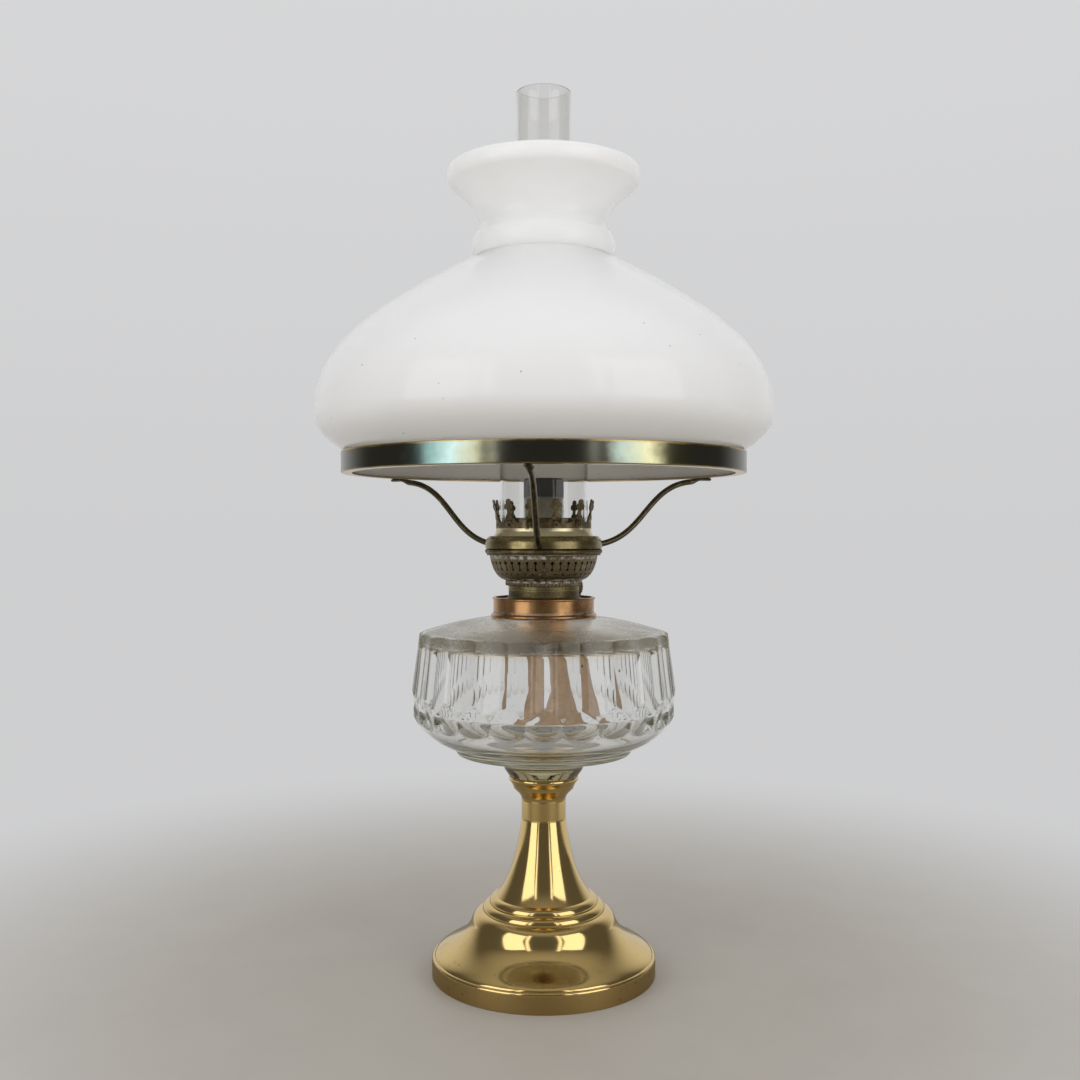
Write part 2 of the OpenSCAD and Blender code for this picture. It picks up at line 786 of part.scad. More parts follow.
module rope_ring() {
    color("darkkhaki") translate([0, 0, z_neck_top]) difference() {
        linear_extrude(height = rope_h - joint_gap)
            polygon(star(rope_teeth, rope_r - rope_tooth, rope_r));
        translate([0, 0, -eps]) cylinder(r = neck_ri, h = rope_h + 2 * eps);
    }
}

// The basket's outer curve from the serrated ring up to the rim
basket_low_r = rope_r - 0.5;
basket_lip_w = 1.6;
basket_lip_r = basket_low_r - basket_lip_w;
basket_edge_r = rim_r - 1.2;
basket_curve = curve(
    [basket_low_r, z_floor],
    [between(basket_low_r, basket_r, 0.62), z_floor + 0.09 * basket_h],
    [between(basket_low_r, basket_r, 0.86), z_floor + 0.45 * basket_h],
    [basket_r, z_floor + 0.9 * basket_h]
);

module keyhole() {
    top = 0.68 * basket_h;
    low = 0.44 * basket_h;
    translate([0, z_floor + top]) circle(d = hole_d);
    translate([0, z_floor + low]) circle(d = 0.75 * hole_d);
    translate([-0.15 * hole_d, z_floor + low]) square([0.3 * hole_d, top - low]);
}

module air_basket() {
    pitch = 360 / basket_holes;
    rim_in = basket_r - sheet_t;
    color("olive") difference() {
        turned(concat(
            [[basket_lip_r, z_floor]], basket_curve,
            [
                [basket_r, z_rim - sheet_t], [basket_edge_r, z_rim - sheet_t],
                [basket_edge_r, z_rim - joint_gap], [rim_in, z_rim - joint_gap]
            ],
            reversed(inset(basket_curve, sheet_t)), [[basket_lip_r, z_floor + sheet_t]]
        ));
        for (i = [0:basket_holes - 1])
            outwards(i * pitch, 0.8 * basket_r, rim_r) keyhole();
        for (i = [0:basket_holes - 1])
            outwards((i + 0.5) * pitch, 0.7 * basket_r, rim_r)
                translate([0, z_floor + 0.27 * basket_h]) circle(d = 0.6 * hole_d);
    }
}

// The dome's outer curve from its rim bead up to the chimney's ledge
dome_wall_h = 0.48 * dome_h;
dome_curve = concat(
    [[seat_r, z_holder], [seat_r, z_holder + dome_wall_h]],
    curve(
        [seat_r - 0.2, z_holder + dome_wall_h + 0.4],
        [between(seat_r, crown_r, 0.35), z_holder + 0.62 * dome_h],
        [between(seat_r, crown_r, 0.75), z_holder + 0.74 * dome_h],
        [crown_r, z_holder + 0.92 * dome_h],
        6
    )
);

module gallery_dome() {
    bead = rim_h / 2;
    color("darkkhaki") turned(concat(
        [[rim_r - bead - sheet_t, z_rim]],
        bulge([rim_r - bead, z_rim], [rim_r - bead, z_holder], 0.96 * bead),
        dome_curve, [[crown_r, z_gallery], [ledge_ri, z_gallery], [ledge_ri, z_gallery - sheet_t]],
        reversed(inset(dome_curve, sheet_t)), [[rim_r - bead - sheet_t, z_holder - sheet_t]]
    ));
}

// A prong is a flat plate with a trefoil tip, rooted in the crown's band
prong_root = 1;
prong_h = crown_h - crown_band_h + prong_root;

module prong_outline() {
    lobe = 0.1 * crown_h;
    base_w = 6.2;
    stem_w = 2.4;
    stem_z = 0.32 * prong_h;
    lobe_z = prong_h - 2.5 * lobe;
    polygon([
        [-base_w / 2, 0], [base_w / 2, 0], [base_w / 2, prong_root], [stem_w / 2, stem_z],
        [stem_w / 2, lobe_z], [-stem_w / 2, lobe_z], [-stem_w / 2, stem_z], [-base_w / 2, prong_root]
    ]);
    translate([0.8 * lobe, lobe_z]) circle(r = lobe);
    translate([-0.8 * lobe, lobe_z]) circle(r = lobe);
    translate([0, prong_h - lobe]) circle(r = lobe);
}

module prong(a, flare) {
    rotate([0, 0, a])
        translate([crown_r - 0.75 * sheet_t, 0, crown_band_h - prong_root])
            rotate([0, asin(flare / prong_h), 0])
                rotate([90, 0, 90])
                    linear_extrude(height = sheet_t) prong_outline();
}

module gallery_crown() {
    pitch = 360 / crown_prongs;
    scallop_r = 0.9 * crown_d / crown_prongs;
    pierced_r = 0.8;
    color("darkkhaki") translate([0, 0, z_gallery + joint_gap]) union() {
        difference() {
            tube(crown_r, crown_r - sheet_t, 0, crown_band_h);
            for (i = [0:crown_prongs - 1])
                outwards(i * pitch, 0.8 * crown_r, 1.2 * crown_r)
                    translate([0, crown_band_h + 0.33 * scallop_r]) circle(r = scallop_r);
            for (i = [0:crown_prongs - 1])
                outwards((i + 0.5) * pitch, 0.8 * crown_r, 1.2 * crown_r)
                    translate([0, 0.4 * crown_band_h]) circle(r = pierced_r);
        }
        for (i = [0:crown_prongs - 1])
            prong((i + 0.5) * pitch, i % 2 == 0 ? crown_flare : 0.4 * crown_flare);
    }
}

module draft_cone() {
    foot = [ledge_ri - joint_gap, z_gallery - sheet_t];
    turn_in = 1.2;
    side = [
        [foot.x, foot.y + sheet_t], [cone_d / 2 + turn_in, foot.y + 0.75 * cone_h],
        [cone_d / 2, foot.y + cone_h]
    ];
    color("olive") turned(concat(
        [foot], side, reversed(inset(side, sheet_t)), [foot - [2 * sheet_t, 0]]
    ));
}

module wick_tube() {
    plate_r = basket_lip_r - joint_gap;
    color("peru") difference() {
        union() {
            tube(tube_r, tube_r - tube_wall, z_floor, tube_h);
            tube(plate_r, tube_r - tube_wall / 2, z_floor, sheet_t);
        }
        translate([-tube_r - duct_out, -duct_w / 2 - joint_gap, z_duct - joint_gap])
            cube([tube_r / 2, duct_w + 2 * joint_gap, duct_h + 2 * joint_gap]);
    }
}

module draft_tube() {
    low = z_duct - 2 * tube_wall;
    wall = tube_wall;
    color("darkkhaki") difference() {
        union() {
            translate([0, 0, low]) cylinder(r = draft_ro, h = z_tube_top - draft_drop - low);
            translate([-tube_r - duct_out, -duct_w / 2, z_duct])
                cube([tube_r + duct_out, duct_w, duct_h]);
        }
        translate([0, 0, low + wall]) cylinder(r = draft_ro - wall, h = tube_h);
        translate([-tube_r - 2 * duct_out, -duct_w / 2 + wall, z_duct + wall])
            cube([tube_r + 2 * duct_out, duct_w - 2 * wall, duct_h - 2 * wall]);
    }
}

// The wick: a woven band rolled into a tube, open at the duct, that leaves the burner
// as a loose trough which turns and leans to one side on its way down
wick_rows = 24;
wick_cols = 22;
wick_top = z_tube_top + wick_show;
wick_low = z_floor - wick_tail;
wick_free = z_burner - spigot_h;
wick_mid_r = wick_ro - wick_t / 2;
wick_tail_r = 13.2;
wick_open = asin((duct_w / 2 + 2 * wick_gap) / wick_ri) + 1;
wick_closed = 3;
wick_turn = -75;
wick_lean = [8, 2];

function wick_z(i) = between(wick_low, wick_top, i / wick_rows);
function wick_loose(z) = max(0, (wick_free - z) / (wick_free - wick_low));
function wick_r(z) = between(wick_mid_r, wick_tail_r, wick_loose(z));
function wick_slit(z) =
    let (rise = (z - z_duct - duct_h - 10) / 12) between(wick_open, wick_closed, max(0, min(1, rise)));
function wick_half(z) = (180 - wick_slit(z)) * wick_mid_r / wick_r(z);
function wick_point(i, j, side) =
    let (
        z = wick_z(i),
        loose = wick_loose(z),
        a = wick_turn * loose + wick_half(z) * (2 * j / wick_cols - 1),
        r = wick_r(z) + side * wick_t / 2,
        c = wick_lean * loose * loose
    )
    [c.x + r * cos(a), c.y + r * sin(a), z];

module wick() {
    rows = wick_rows + 1;
    cols = wick_cols + 1;
    layer = rows * cols;
    top = wick_rows;
    last = wick_cols;
    points = [
        for (side = [-1, 1]) for (i = [0:wick_rows]) for (j = [0:wick_cols]) wick_point(i, j, side)
    ];
    function at(side, i, j) = side * layer + i * cols + j;
    function quad(a, b, c, d) = [[a, b, c], [a, c, d]];
    faces = concat(
        [for (i = [0:wick_rows - 1]) for (j = [0:wick_cols - 1])
            each quad(at(1, i, j), at(1, i + 1, j), at(1, i + 1, j + 1), at(1, i, j + 1))],
        [for (i = [0:wick_rows - 1]) for (j = [0:wick_cols - 1])
            each quad(at(0, i, j), at(0, i, j + 1), at(0, i + 1, j + 1), at(0, i + 1, j))],
        [for (i = [0:wick_rows - 1])
            each quad(at(0, i, 0), at(0, i + 1, 0), at(1, i + 1, 0), at(1, i, 0))],
        [for (i = [0:wick_rows - 1])
            each quad(at(0, i, last), at(1, i, last), at(1, i + 1, last), at(0, i + 1, last))],
        [for (j = [0:last - 1])
            each quad(at(0, 0, j), at(1, 0, j), at(1, 0, j + 1), at(0, 0, j + 1))],
        [for (j = [0:last - 1])
            each quad(at(0, top, j), at(0, top, j + 1), at(1, top, j + 1), at(1, top, j))]
    );
    color("tan") polyhedron(points, faces);
}

module wick_spindle() {
    color("darkgoldenrod") spindle_bar(spindle_r, -wheel_y - wheel_t, knob_reach + knob_t + rod_stand);
}

module wick_wheels() {
    color("darkgoldenrod") for (side = [-1, 1])
        translate([spindle_x, side * wheel_y - wheel_t / 2, z_spindle])
            rotate([-90, 0, 0]) difference() {
                linear_extrude(height = wheel_t)
                    polygon(star(wheel_teeth, wheel_r - wheel_tooth, wheel_r));
                translate([0, 0, -eps]) cylinder(r = spindle_r + joint_gap, h = wheel_t + 2 * eps);
            }
}

module wick_knob() {
    bore_h = knob_hub_h + knob_t + 2 * eps;
    color("dimgray") translate([spindle_x, knob_reach, z_spindle]) rotate([-90, 0, 0]) difference() {
        union() {
            linear_extrude(height = knob_t)
                polygon(star(knob_notches, knob_d / 2 - knob_tooth, knob_d / 2));
            translate([0, 0, -knob_hub_h])
                cylinder(r = spindle_r + knob_hub_wall, h = knob_hub_h + eps);
        }
        translate([0, 0, -knob_hub_h - eps]) cylinder(r = spindle_r + joint_gap, h = bore_h);
    }
}

module spindle_bush() {
    color("darkkhaki") difference() {
        spindle_bar(bush_d / 2, bush_start, bush_end);
        spindle_bar(spindle_r + running_gap, bush_start - eps, bush_end + eps);
    }
}

module chimney() {
    r = chimney_d / 2;
    wide = z_chimney + chimney_wide_h;
    waist = [chimney_waist_d / 2, wide + chimney_waist_h];
    top = [chimney_top_d / 2, z_chimney + chimney_h - chimney_wall / 2];
    outer = concat(
        [[r, z_chimney], [r, wide - 6]],
        curve(
            [r, wide], [r, wide + 0.6 * chimney_waist_h],
            [waist.x, waist.y - 0.75 * chimney_waist_h], waist
        ),
        [top]
    );
    inner = inset(outer, chimney_wall);
    color([0.9, 0.95, 0.95, 0.3]) turned(concat(
        outer, after_first(bulge(top, inner[len(inner) - 1], 0.45 * chimney_wall, 8)),
        after_first(reversed(inner))
    ));
}

module holder_base() {
    low = z_holder + seat_gap;
    top = low + base_ring_h;
    round_h = 0.55 * base_ring_h;
    color("olive") turned(concat(
        [[base_ring_ri, low], [base_ring_r, low]],
        curve(
            [base_ring_r, top - round_h], [base_ring_r, top - 0.5 * round_h],
            [base_ring_r - 0.8, top - 0.2 * round_h], [base_ring_ri + 0.8, top], 8
        ),
        [[base_ring_ri, top]]
    ));
}

// An arm's way in its own upright plane, from the base ring out to its foot under the ring
arm_start = [base_ring_r - 1, z_holder + seat_gap + 0.5 * arm_d + 0.2];
arm_bend = [ring_r - 15, z_ring - 2.6];
arm_foot_z = z_ring - joint_gap - arm_foot_t / 2;
arm_way = concat(
    curve(
        arm_start,
        [between(arm_start.x, arm_bend.x, 0.51), between(arm_start.y, arm_bend.y, 0.08)],
        [between(arm_start.x, arm_bend.x, 0.51), between(arm_start.y, arm_bend.y, 0.93)],
        arm_bend, 18
    ),
    [[ring_r - 8, arm_foot_z], [ring_r - 3, arm_foot_z], [ring_r - 1, arm_foot_z]]
);
arm_sides = 12;

function arm_flat(i) = max(0, min(1, (i - 17) / 2));
function arm_ring(i) =
    let (
        last = len(arm_way) - 1,
        way = arm_way[min(i + 1, last)] - arm_way[max(i - 1, 0)],
        t = way / norm(way),
        flat = arm_flat(i),
        taper = i == last ? 0.55 : 1,
        half_w = taper * between(arm_d, arm_foot_w, flat) / 2,
        half_t = between(arm_d, arm_foot_t, flat) / 2
    )
    [for (k = [0:arm_sides - 1])
        let (a = 360 * (k + 0.5) / arm_sides, up = half_t * sin(a) / sin(90 - 180 / arm_sides))
        [arm_way[i].x - t.y * up, half_w * cos(a), arm_way[i].y + t.x * up]];

module holder_arm(index) {
    count = len(arm_way);
    points = [for (i = [0:count - 1]) each arm_ring(i)];
    faces = concat(
        [for (i = [0:count - 2]) for (k = [0:arm_sides - 1])
            let (m = (k + 1) % arm_sides, a = i * arm_sides, b = a + arm_sides)
            each [[a + k, b + k, b + m], [a + k, b + m, a + m]]],
        [[for (k = [0:arm_sides - 1]) k]],
        [[for (k = [arm_sides - 1:-1:0]) (count - 1) * arm_sides + k]]
    );
    color("olivedrab") rotate([0, 0, arm_turn + index * 360 / arm_count]) difference() {
        polyhedron(points, faces);
        translate([0, 0, z_holder]) cylinder(r = base_ring_r + joint_gap, h = base_ring_h + arm_d);
    }
}

module shade_ring() {
    color("darkslategray") turned([
        [ring_r - ring_ledge, z_ring], [ring_r, z_ring], [ring_r, z_ring + ring_h],
        [ring_r - ring_t, z_ring + ring_h], [ring_r - ring_t, z_ring + ring_t],
        [ring_r - ring_ledge, z_ring + ring_t]
    ]);
}

// The shade's outer curves, from its rim in the ring up to its lip
shade_r = shade_d / 2;
z_shade_top = z_shade + shade_h;
z_shade_wide = z_shade + shade_wide_h;
shade_crease = [shade_crease_d / 2, z_shade + shade_bead_z];
shade_neck = [shade_neck_d / 2, shade_crease.y + shade_bead_h + 3.8];
shade_lip = [shade_lip_d / 2 - 2.3, z_shade_top - shade_lip_h];
shade_lip_t = 4.6;

shade_body = concat(
    [[shade_rim_r, z_shade]],
    curve(
        [shade_rim_r, z_shade + shade_rim_h],
        [between(shade_rim_r, shade_r, 0.37), z_shade + between(shade_rim_h, shade_wide_h, 0.21)],
        [shade_r, z_shade + between(shade_rim_h, shade_wide_h, 0.49)],
        [shade_r, z_shade_wide]
    ),
    after_first(curve(
        [shade_r, z_shade_wide],
        [shade_r, between(z_shade_wide, shade_crease.y, 0.4)],
        [between(shade_r, shade_crease.x, 0.33), between(z_shade_wide, shade_crease.y, 0.63)],
        shade_crease,
        22
    ))
);
shade_bead = bulge(
    shade_crease, [shade_neck.x + 1.4, shade_crease.y + shade_bead_h],
    shade_bead_d / 2 - (shade_crease.x + shade_neck.x + 1.4) / 2, 10
);
shade_flare = curve(
    shade_neck,
    [shade_neck.x + 0.2, between(shade_neck.y, shade_lip.y, 0.34)],
    [between(shade_neck.x, shade_lip.x, 0.34), between(shade_neck.y, shade_lip.y, 0.66)],
    shade_lip
);
shade_lip_edge = curve(
    shade_lip,
    [shade_lip_d / 2 + 0.3, shade_lip.y + 0.15 * shade_lip_h],
    [shade_lip_d / 2 + 0.6, z_shade_top - 0.1 * shade_lip_h],
    [shade_lip_d / 2 - 2.2, z_shade_top],
    10
);

module shade() {
    outside = concat(shade_body, after_first(shade_bead), shade_flare);
    lip_in = [shade_lip_d / 2 - shade_lip_t, z_shade_top - 0.12 * shade_lip_h];
    color("whitesmoke") turned(concat(
        outside, after_first(shade_lip_edge), [lip_in], reversed(inset(outside, shade_wall))
    ));
}

foot_shell();
foot_weight();
foot_felt();
tie_rod();
tie_nut();
tie_washer();
stem_sleeve();
font_cup();
peg_cement();
font();
collar_cement();
font_collar();
burner_gasket();
burner_base();
rope_ring();
air_basket();
gallery_dome();
gallery_crown();
draft_cone();
wick_tube();
draft_tube();
wick();
wick_spindle();
wick_wheels();
wick_knob();
spindle_bush();
chimney();
holder_base();
holder_arm(0);  // holder_arm_1
holder_arm(1);  // holder_arm_2
holder_arm(2);  // holder_arm_3
shade_ring();
shade();
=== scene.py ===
"""Looks for a kerosene table lamp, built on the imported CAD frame."""

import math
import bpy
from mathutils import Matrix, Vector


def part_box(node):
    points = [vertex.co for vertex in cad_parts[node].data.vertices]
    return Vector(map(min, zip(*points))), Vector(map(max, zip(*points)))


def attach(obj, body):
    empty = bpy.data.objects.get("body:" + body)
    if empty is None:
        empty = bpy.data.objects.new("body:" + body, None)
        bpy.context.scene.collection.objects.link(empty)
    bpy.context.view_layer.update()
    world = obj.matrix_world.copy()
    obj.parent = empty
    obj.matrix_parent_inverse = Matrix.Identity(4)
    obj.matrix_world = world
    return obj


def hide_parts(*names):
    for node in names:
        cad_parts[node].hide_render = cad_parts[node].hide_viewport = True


bl_info = {
    "name": "Kerosene table lamp",
    "version": (1, 0, 0),
    "blender": (4, 5, 0),
    "location": "3D View > Sidebar > Lamp",
    "description": "Builds the brass, glass and cotton pieces of a kerosene table lamp",
    "category": "Object",
}

import bmesh
import bpy
import numpy as np

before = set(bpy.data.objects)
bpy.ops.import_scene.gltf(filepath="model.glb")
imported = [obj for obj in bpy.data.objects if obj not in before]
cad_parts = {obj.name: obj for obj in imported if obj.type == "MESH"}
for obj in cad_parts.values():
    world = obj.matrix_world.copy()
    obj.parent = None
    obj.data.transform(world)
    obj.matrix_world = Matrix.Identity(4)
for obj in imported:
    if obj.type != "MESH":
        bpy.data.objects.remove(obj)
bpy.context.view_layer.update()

# Outlines are written in millimetres and become metres when a mesh is made
MM = 0.001
TAU = 2 * math.pi
# How strongly glass bends light; the opaque finishes share the value
IOR = 1.5
# The camera fitted to the photograph: picture width and focal length in pixels
PHOTO_WIDTH, FOCAL_LENGTH = 1080, 1198
CAMERA_PLACE, CAMERA_DIP = (-0.0022, -0.7152, 0.264), 0.478
# Radii that several pieces share, and the floor's
STEM_RADIUS, BURNER_BORE, HOLDER_RADIUS = 13.25, 19.9, 34.8
FLOOR_RADIUS = 3000


def low(node):
    """Height of a CAD node's underside, in mm."""
    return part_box(node)[0].z / MM


def high(node):
    """Height of a CAD node's top, in mm."""
    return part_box(node)[1].z / MM


def reach(node):
    """How far a CAD node reaches from the lamp's axis towards +X, in mm."""
    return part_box(node)[1].x / MM


def span(node):
    """Underside, top and reach of a CAD node, in mm."""
    return low(node), high(node), reach(node)


# Sizes and colours

def length(name, description, default):
    """A size in metres whose default is given in mm."""
    return bpy.props.FloatProperty(
        name=name, description=description, default=default * MM, min=0.0,
        subtype="DISTANCE", unit="LENGTH", precision=5,
    )


def colour(name, description, default):
    """A linear colour."""
    return bpy.props.FloatVectorProperty(
        name=name, description=description, default=default, size=3, min=0.0, max=1.0,
        subtype="COLOR",
    )


class LampSizes(bpy.types.PropertyGroup):
    """Sizes of the lamp's pieces."""

    foot_radius: length("Foot radius", "Radius of the foot's rim", 66.5)
    foot_rim: length("Foot rim", "Height of the foot's rim band", 12)
    bell_radius: length("Bell radius", "Radius of the bell's shoulder", 43)
    bell_height: length("Bell height", "Height of the bell's shoulder", 31.8)
    bead: length("Bead", "Height and width of each bead above the bell", 4.1)
    font_edge: length("Font edge", "Radius over the panels' edges at the widest level", 78.7)
    font_panels: bpy.props.IntProperty(
        name="Panels", description="Number of panels round the font", default=24, min=8
    )
    font_softness: length("Edge softness", "Rounding of the edges in the pressed glass", 0.3)
    collar_radius: length("Collar radius", "Radius of the collar's wall", 30)
    chimney_wall: length("Chimney wall", "Glass thickness of the chimney", 1.8)
    shade_wall: length("Shade wall", "Glass thickness of the shade", 2.6)
    arm: length("Arm", "Thickness of a holder arm", 3.6)
    wick: length("Wick", "Thickness of the woven wick", 1.6)
    weave: length("Weave", "Pitch of the wick's weave", 1.3)
    rope_teeth: bpy.props.IntProperty(
        name="Teeth", description="Number of teeth on the serrated ring", default=60, min=12
    )


class LampColours(bpy.types.PropertyGroup):
    """Colours of the lamp's finishes."""

    brass: colour("Brass", "Polished brass of the foot and the cup", (0.82, 0.6, 0.25))
    aged: colour("Aged brass", "Olive brown brass of the burner", (0.19, 0.145, 0.075))
    bright: colour("Worn brass", "Brass where the brown has worn off", (0.48, 0.4, 0.19))
    copper: colour("Copper", "Copper brown of the collar", (0.52, 0.29, 0.13))
    bronze: colour("Bronze", "Dark olive of the holder's arms", (0.1, 0.085, 0.05))
    patina: colour("Patina", "Dark skin on the shade's ring", (0.14, 0.138, 0.11))
    soot: colour("Soot", "Black of the wick tube's upper end", (0.035, 0.035, 0.032))
    oxide: colour("Oxide", "White bloom in the basket's corners", (0.62, 0.6, 0.52))
    tint: colour("Glass tint", "Body colour of the font's glass", (0.995, 0.994, 0.99))
    opal: colour("Opal", "White of the shade", (0.95, 0.957, 0.95))
    cotton: colour("Cotton", "Oil-stained wick", (0.45, 0.31, 0.2))
    felt: colour("Felt", "Felt under the foot", (0.03, 0.07, 0.035))
    floor: colour("Floor", "Floor near the lamp", (0.49, 0.455, 0.4))
    backdrop: colour("Backdrop", "Backdrop at eye level", (0.62, 0.622, 0.63))


# Shader maths

class Socket:
    """A shader socket that Python's operators work on."""

    def __init__(self, finish, socket):
        self.finish = finish
        self.socket = socket

    def maths(self, operation, first, second=0.0, clamp=False):
        """A Math node on one or two values."""
        return self.finish.add(
            "ShaderNodeMath", {"operation": operation, "use_clamp": clamp}, {0: first, 1: second}
        )

    def __add__(self, other):
        return self.maths("ADD", self, other)

    __radd__ = __add__

    def __sub__(self, other):
        return self.maths("SUBTRACT", self, other)

    def __rsub__(self, other):
        return self.maths("SUBTRACT", other, self)

    def __mul__(self, other):
        return self.maths("MULTIPLY", self, other)

    __rmul__ = __mul__

    def __pow__(self, other):
        return self.maths("POWER", self, other)

    def clamped(self):
        """The value held between 0 and 1."""
        return self.maths("ADD", self, 0.0, clamp=True)

    def step(self, start, end):
        """0 before start, 1 after end, smooth between them."""
        return self.finish.add(
            "ShaderNodeMapRange", {"interpolation_type": "SMOOTHSTEP"},
            {0: self, 1: start, 2: end, 3: 0.0, 4: 1.0},
        )

    def band(self, start, end, soft):
        """1 between start and end, fading over soft on both sides."""
        return self.step(start - soft, start) * (1 - self.step(end, end + soft))


class Finish:
    """A node tree in the making, for a material or the world."""

    def __init__(self, owner):
        owner.use_nodes = True
        self.owner = owner
        self.tree = owner.node_tree
        self.tree.nodes.clear()

    def add(self, kind, settings=None, inputs=None, output=0):
        """Add a node, set it up, fill its sockets and return one of its outputs."""
        node = self.tree.nodes.new(kind)
        for key, value in (settings or {}).items():
            if key == "stops":
                elements = node.color_ramp.elements
                while len(elements) < len(value):
                    elements.new(0.5)
                for element, (place, shade) in zip(elements, value):
                    element.position = place
                    element.color = (*shade, 1)
            else:
                setattr(node, key, value)
        for key, value in (inputs or {}).items():
            if isinstance(value, Socket):
                self.tree.links.new(value.socket, node.inputs[key])
            else:
                default = node.inputs[key].default_value
                wide = hasattr(default, "__len__") and len(default) == 4 and len(value) == 3
                node.inputs[key].default_value = (*value, 1) if wide else value
        return Socket(self, node.outputs[output])

    def place(self):
        """Place on the lamp, in metres."""
        return self.add("ShaderNodeTexCoord", output="Object")

    def parts(self, vector):
        """The three parts of a vector."""
        first = self.add("ShaderNodeSeparateXYZ", inputs={0: vector})
        return [Socket(self, first.socket.node.outputs[i]) for i in range(3)]

    def vector(self, x, y, z):
        """A vector from three values."""
        return self.add("ShaderNodeCombineXYZ", inputs={0: x, 1: y, 2: z})

    def noise(self, vector, scale, detail=3.0, roughness=0.55):
        """Cloudy noise from 0 to 1."""
        return self.add(
            "ShaderNodeTexNoise",
            inputs={"Vector": vector, "Scale": scale, "Detail": detail, "Roughness": roughness},
        )

    def specks(self, vector, scale, size, share):
        """Round specks: 1 inside, and only in a share of the cells."""
        node = self.add(
            "ShaderNodeTexVoronoi", inputs={"Vector": vector, "Scale": scale, "Randomness": 1.0}
        )
        cell = self.parts(Socket(self, node.socket.node.outputs["Color"]))[0]
        return (1 - node.step(0.6 * size, size)) * (1 - cell.step(share, share + 0.01))

    def mix(self, share, first, second):
        """A colour between two colours."""
        return self.add(
            "ShaderNodeMix", {"data_type": "RGBA", "clamp_factor": True},
            {0: share, 6: first, 7: second}, output=2,
        )

    def ramp(self, value, *stops):
        """A colour from a ramp of (place, colour) stops."""
        return self.add("ShaderNodeValToRGB", {"stops": stops}, {0: value})

    def bump(self, height, distance, strength):
        """A normal from a height of 0 to 1 that stands for a distance in mm."""
        return self.add(
            "ShaderNodeBump",
            inputs={"Height": height, "Distance": distance * MM, "Strength": strength},
        )

    def surface(self, **inputs):
        """The shading itself; names use _ for spaces."""
        sockets = {key.replace("_", " "): value for key, value in inputs.items()}
        return self.add("ShaderNodeBsdfPrincipled", inputs={"IOR": IOR, **sockets})

    def done(self, shader, filling=None):
        """Send a shader, and what fills the body, to the output and hand back the owner."""
        kind = "World" if isinstance(self.owner, bpy.types.World) else "Material"
        node = self.tree.nodes.new("ShaderNodeOutput" + kind)
        self.tree.links.new(shader.socket, node.inputs["Surface"])
        if filling:
            self.tree.links.new(filling.socket, node.inputs["Volume"])
        return self.owner


def finish(name):
    """A new material in the making, and the place on the lamp that it is worked out from."""
    f = Finish(bpy.data.materials.new(name))
    return f, f.place()


# Finishes

def polished_brass(colours):
    """Spun and polished brass with smudges, fine turning lines and a few brown spots."""
    f, place = finish("polished_brass")
    x, y, z = f.parts(place)
    radius = (x * x + y * y) ** 0.5
    turning = f.noise(f.vector(x * 14, y * 14, (z - radius) * 2400), 1.0, 2)
    smudge = f.noise(place, 46, 5, 0.62)
    stain = f.noise(place, 95, 6, 0.7).step(0.56, 0.74)
    spots = f.specks(place, 330, 0.22, 0.1)
    # The foot is browner near the table, and its rim band duller still
    low_down = 1 - z.step(0.010, 0.03)
    band = 1 - z.step(0.0098, 0.0106)
    brown = stain * (0.1 + 0.22 * low_down) + spots * (0.2 + 0.3 * low_down) + band * 0.45
    brown = brown.clamped()
    return f.done(f.surface(
        Base_Color=f.mix(brown, colours.brass, (0.22, 0.11, 0.03)),
        Metallic=1.0,
        Roughness=0.06 + smudge * 0.07 + brown * 0.15 + turning * 0.03 + band * 0.2,
        Normal=f.bump(turning + smudge * 0.8, 0.008, 0.4),
    ))


def aged_brass(name, colours, levels, wear=0.5, bloom=0.0, skin=None, brightened=None, gloss=0.0):
    """Olive brown brass, brightened at some levels and blooming white at others: wear on the neck and
    holder ring, a painted highlight on the dome.
    """
    skin, brightened = skin or colours.aged, brightened or colours.bright
    f, place = finish(name)
    z = f.parts(place)[2]
    cloud = f.noise(place, 120, 5, 0.65)
    grain = f.noise(place, 900, 3)
    wear_and_highlight = (cloud.step(0.42, 0.78) * wear).clamped()
    # Bands at these levels brighten the brass: wear on the neck and holder ring, a painted highlight on
    # the dome.
    for start, end, share in levels:
        wear_and_highlight = (wear_and_highlight + z.band(start * MM, end * MM, 0.8 * MM) * share * (0.5 + cloud)).clamped()
    skin = f.mix(wear_and_highlight, f.mix(grain.step(0.3, 0.7), skin, [0.55 * c for c in skin]), brightened)
    powder = 0.0
    if bloom:
        base, top = low("air_basket") * MM, high("air_basket") * MM
        corners = z.band(base - 0.0008, base + 0.0012, 0.0007) + z.band(top - 0.0024, top - 0.001, 0.0008)
        powder = (corners * f.noise(place, 330, 4).step(0.42, 0.62) * bloom).clamped()
        skin = f.mix(powder, skin, colours.oxide)
    return f.done(f.surface(
        Base_Color=skin,
        Metallic=1 - powder * 0.85,
        Roughness=(0.44 - gloss - wear_and_highlight * 0.2 + grain * 0.14 + powder * 0.4).clamped(),
        Normal=f.bump(grain + cloud * 0.6, 0.03, 0.5),
    ))


def sooted_brass(colours):
    """Shiny tube whose upper end is black with soot."""
    f, place = finish("sooted_brass")
    z = f.parts(place)[2]
    cloud = f.noise(place, 170, 5, 0.65)
    top = high("wick_tube") * MM
    soot = (z + (cloud - 0.5) * 0.004).step(top - 0.012, top - 0.0095)
    heat = (z + (cloud - 0.5) * 0.006).step(top - 0.03, top - 0.012)
    warm = f.mix(heat, (0.52, 0.49, 0.43), (0.4, 0.37, 0.31))
    return f.done(f.surface(
        Base_Color=f.mix(soot, warm, colours.soot),
        Metallic=1 - soot * 0.95,
        Roughness=0.1 + cloud * 0.12 + soot * 0.45,
        Normal=f.bump(cloud, 0.02, 0.15),
    ))


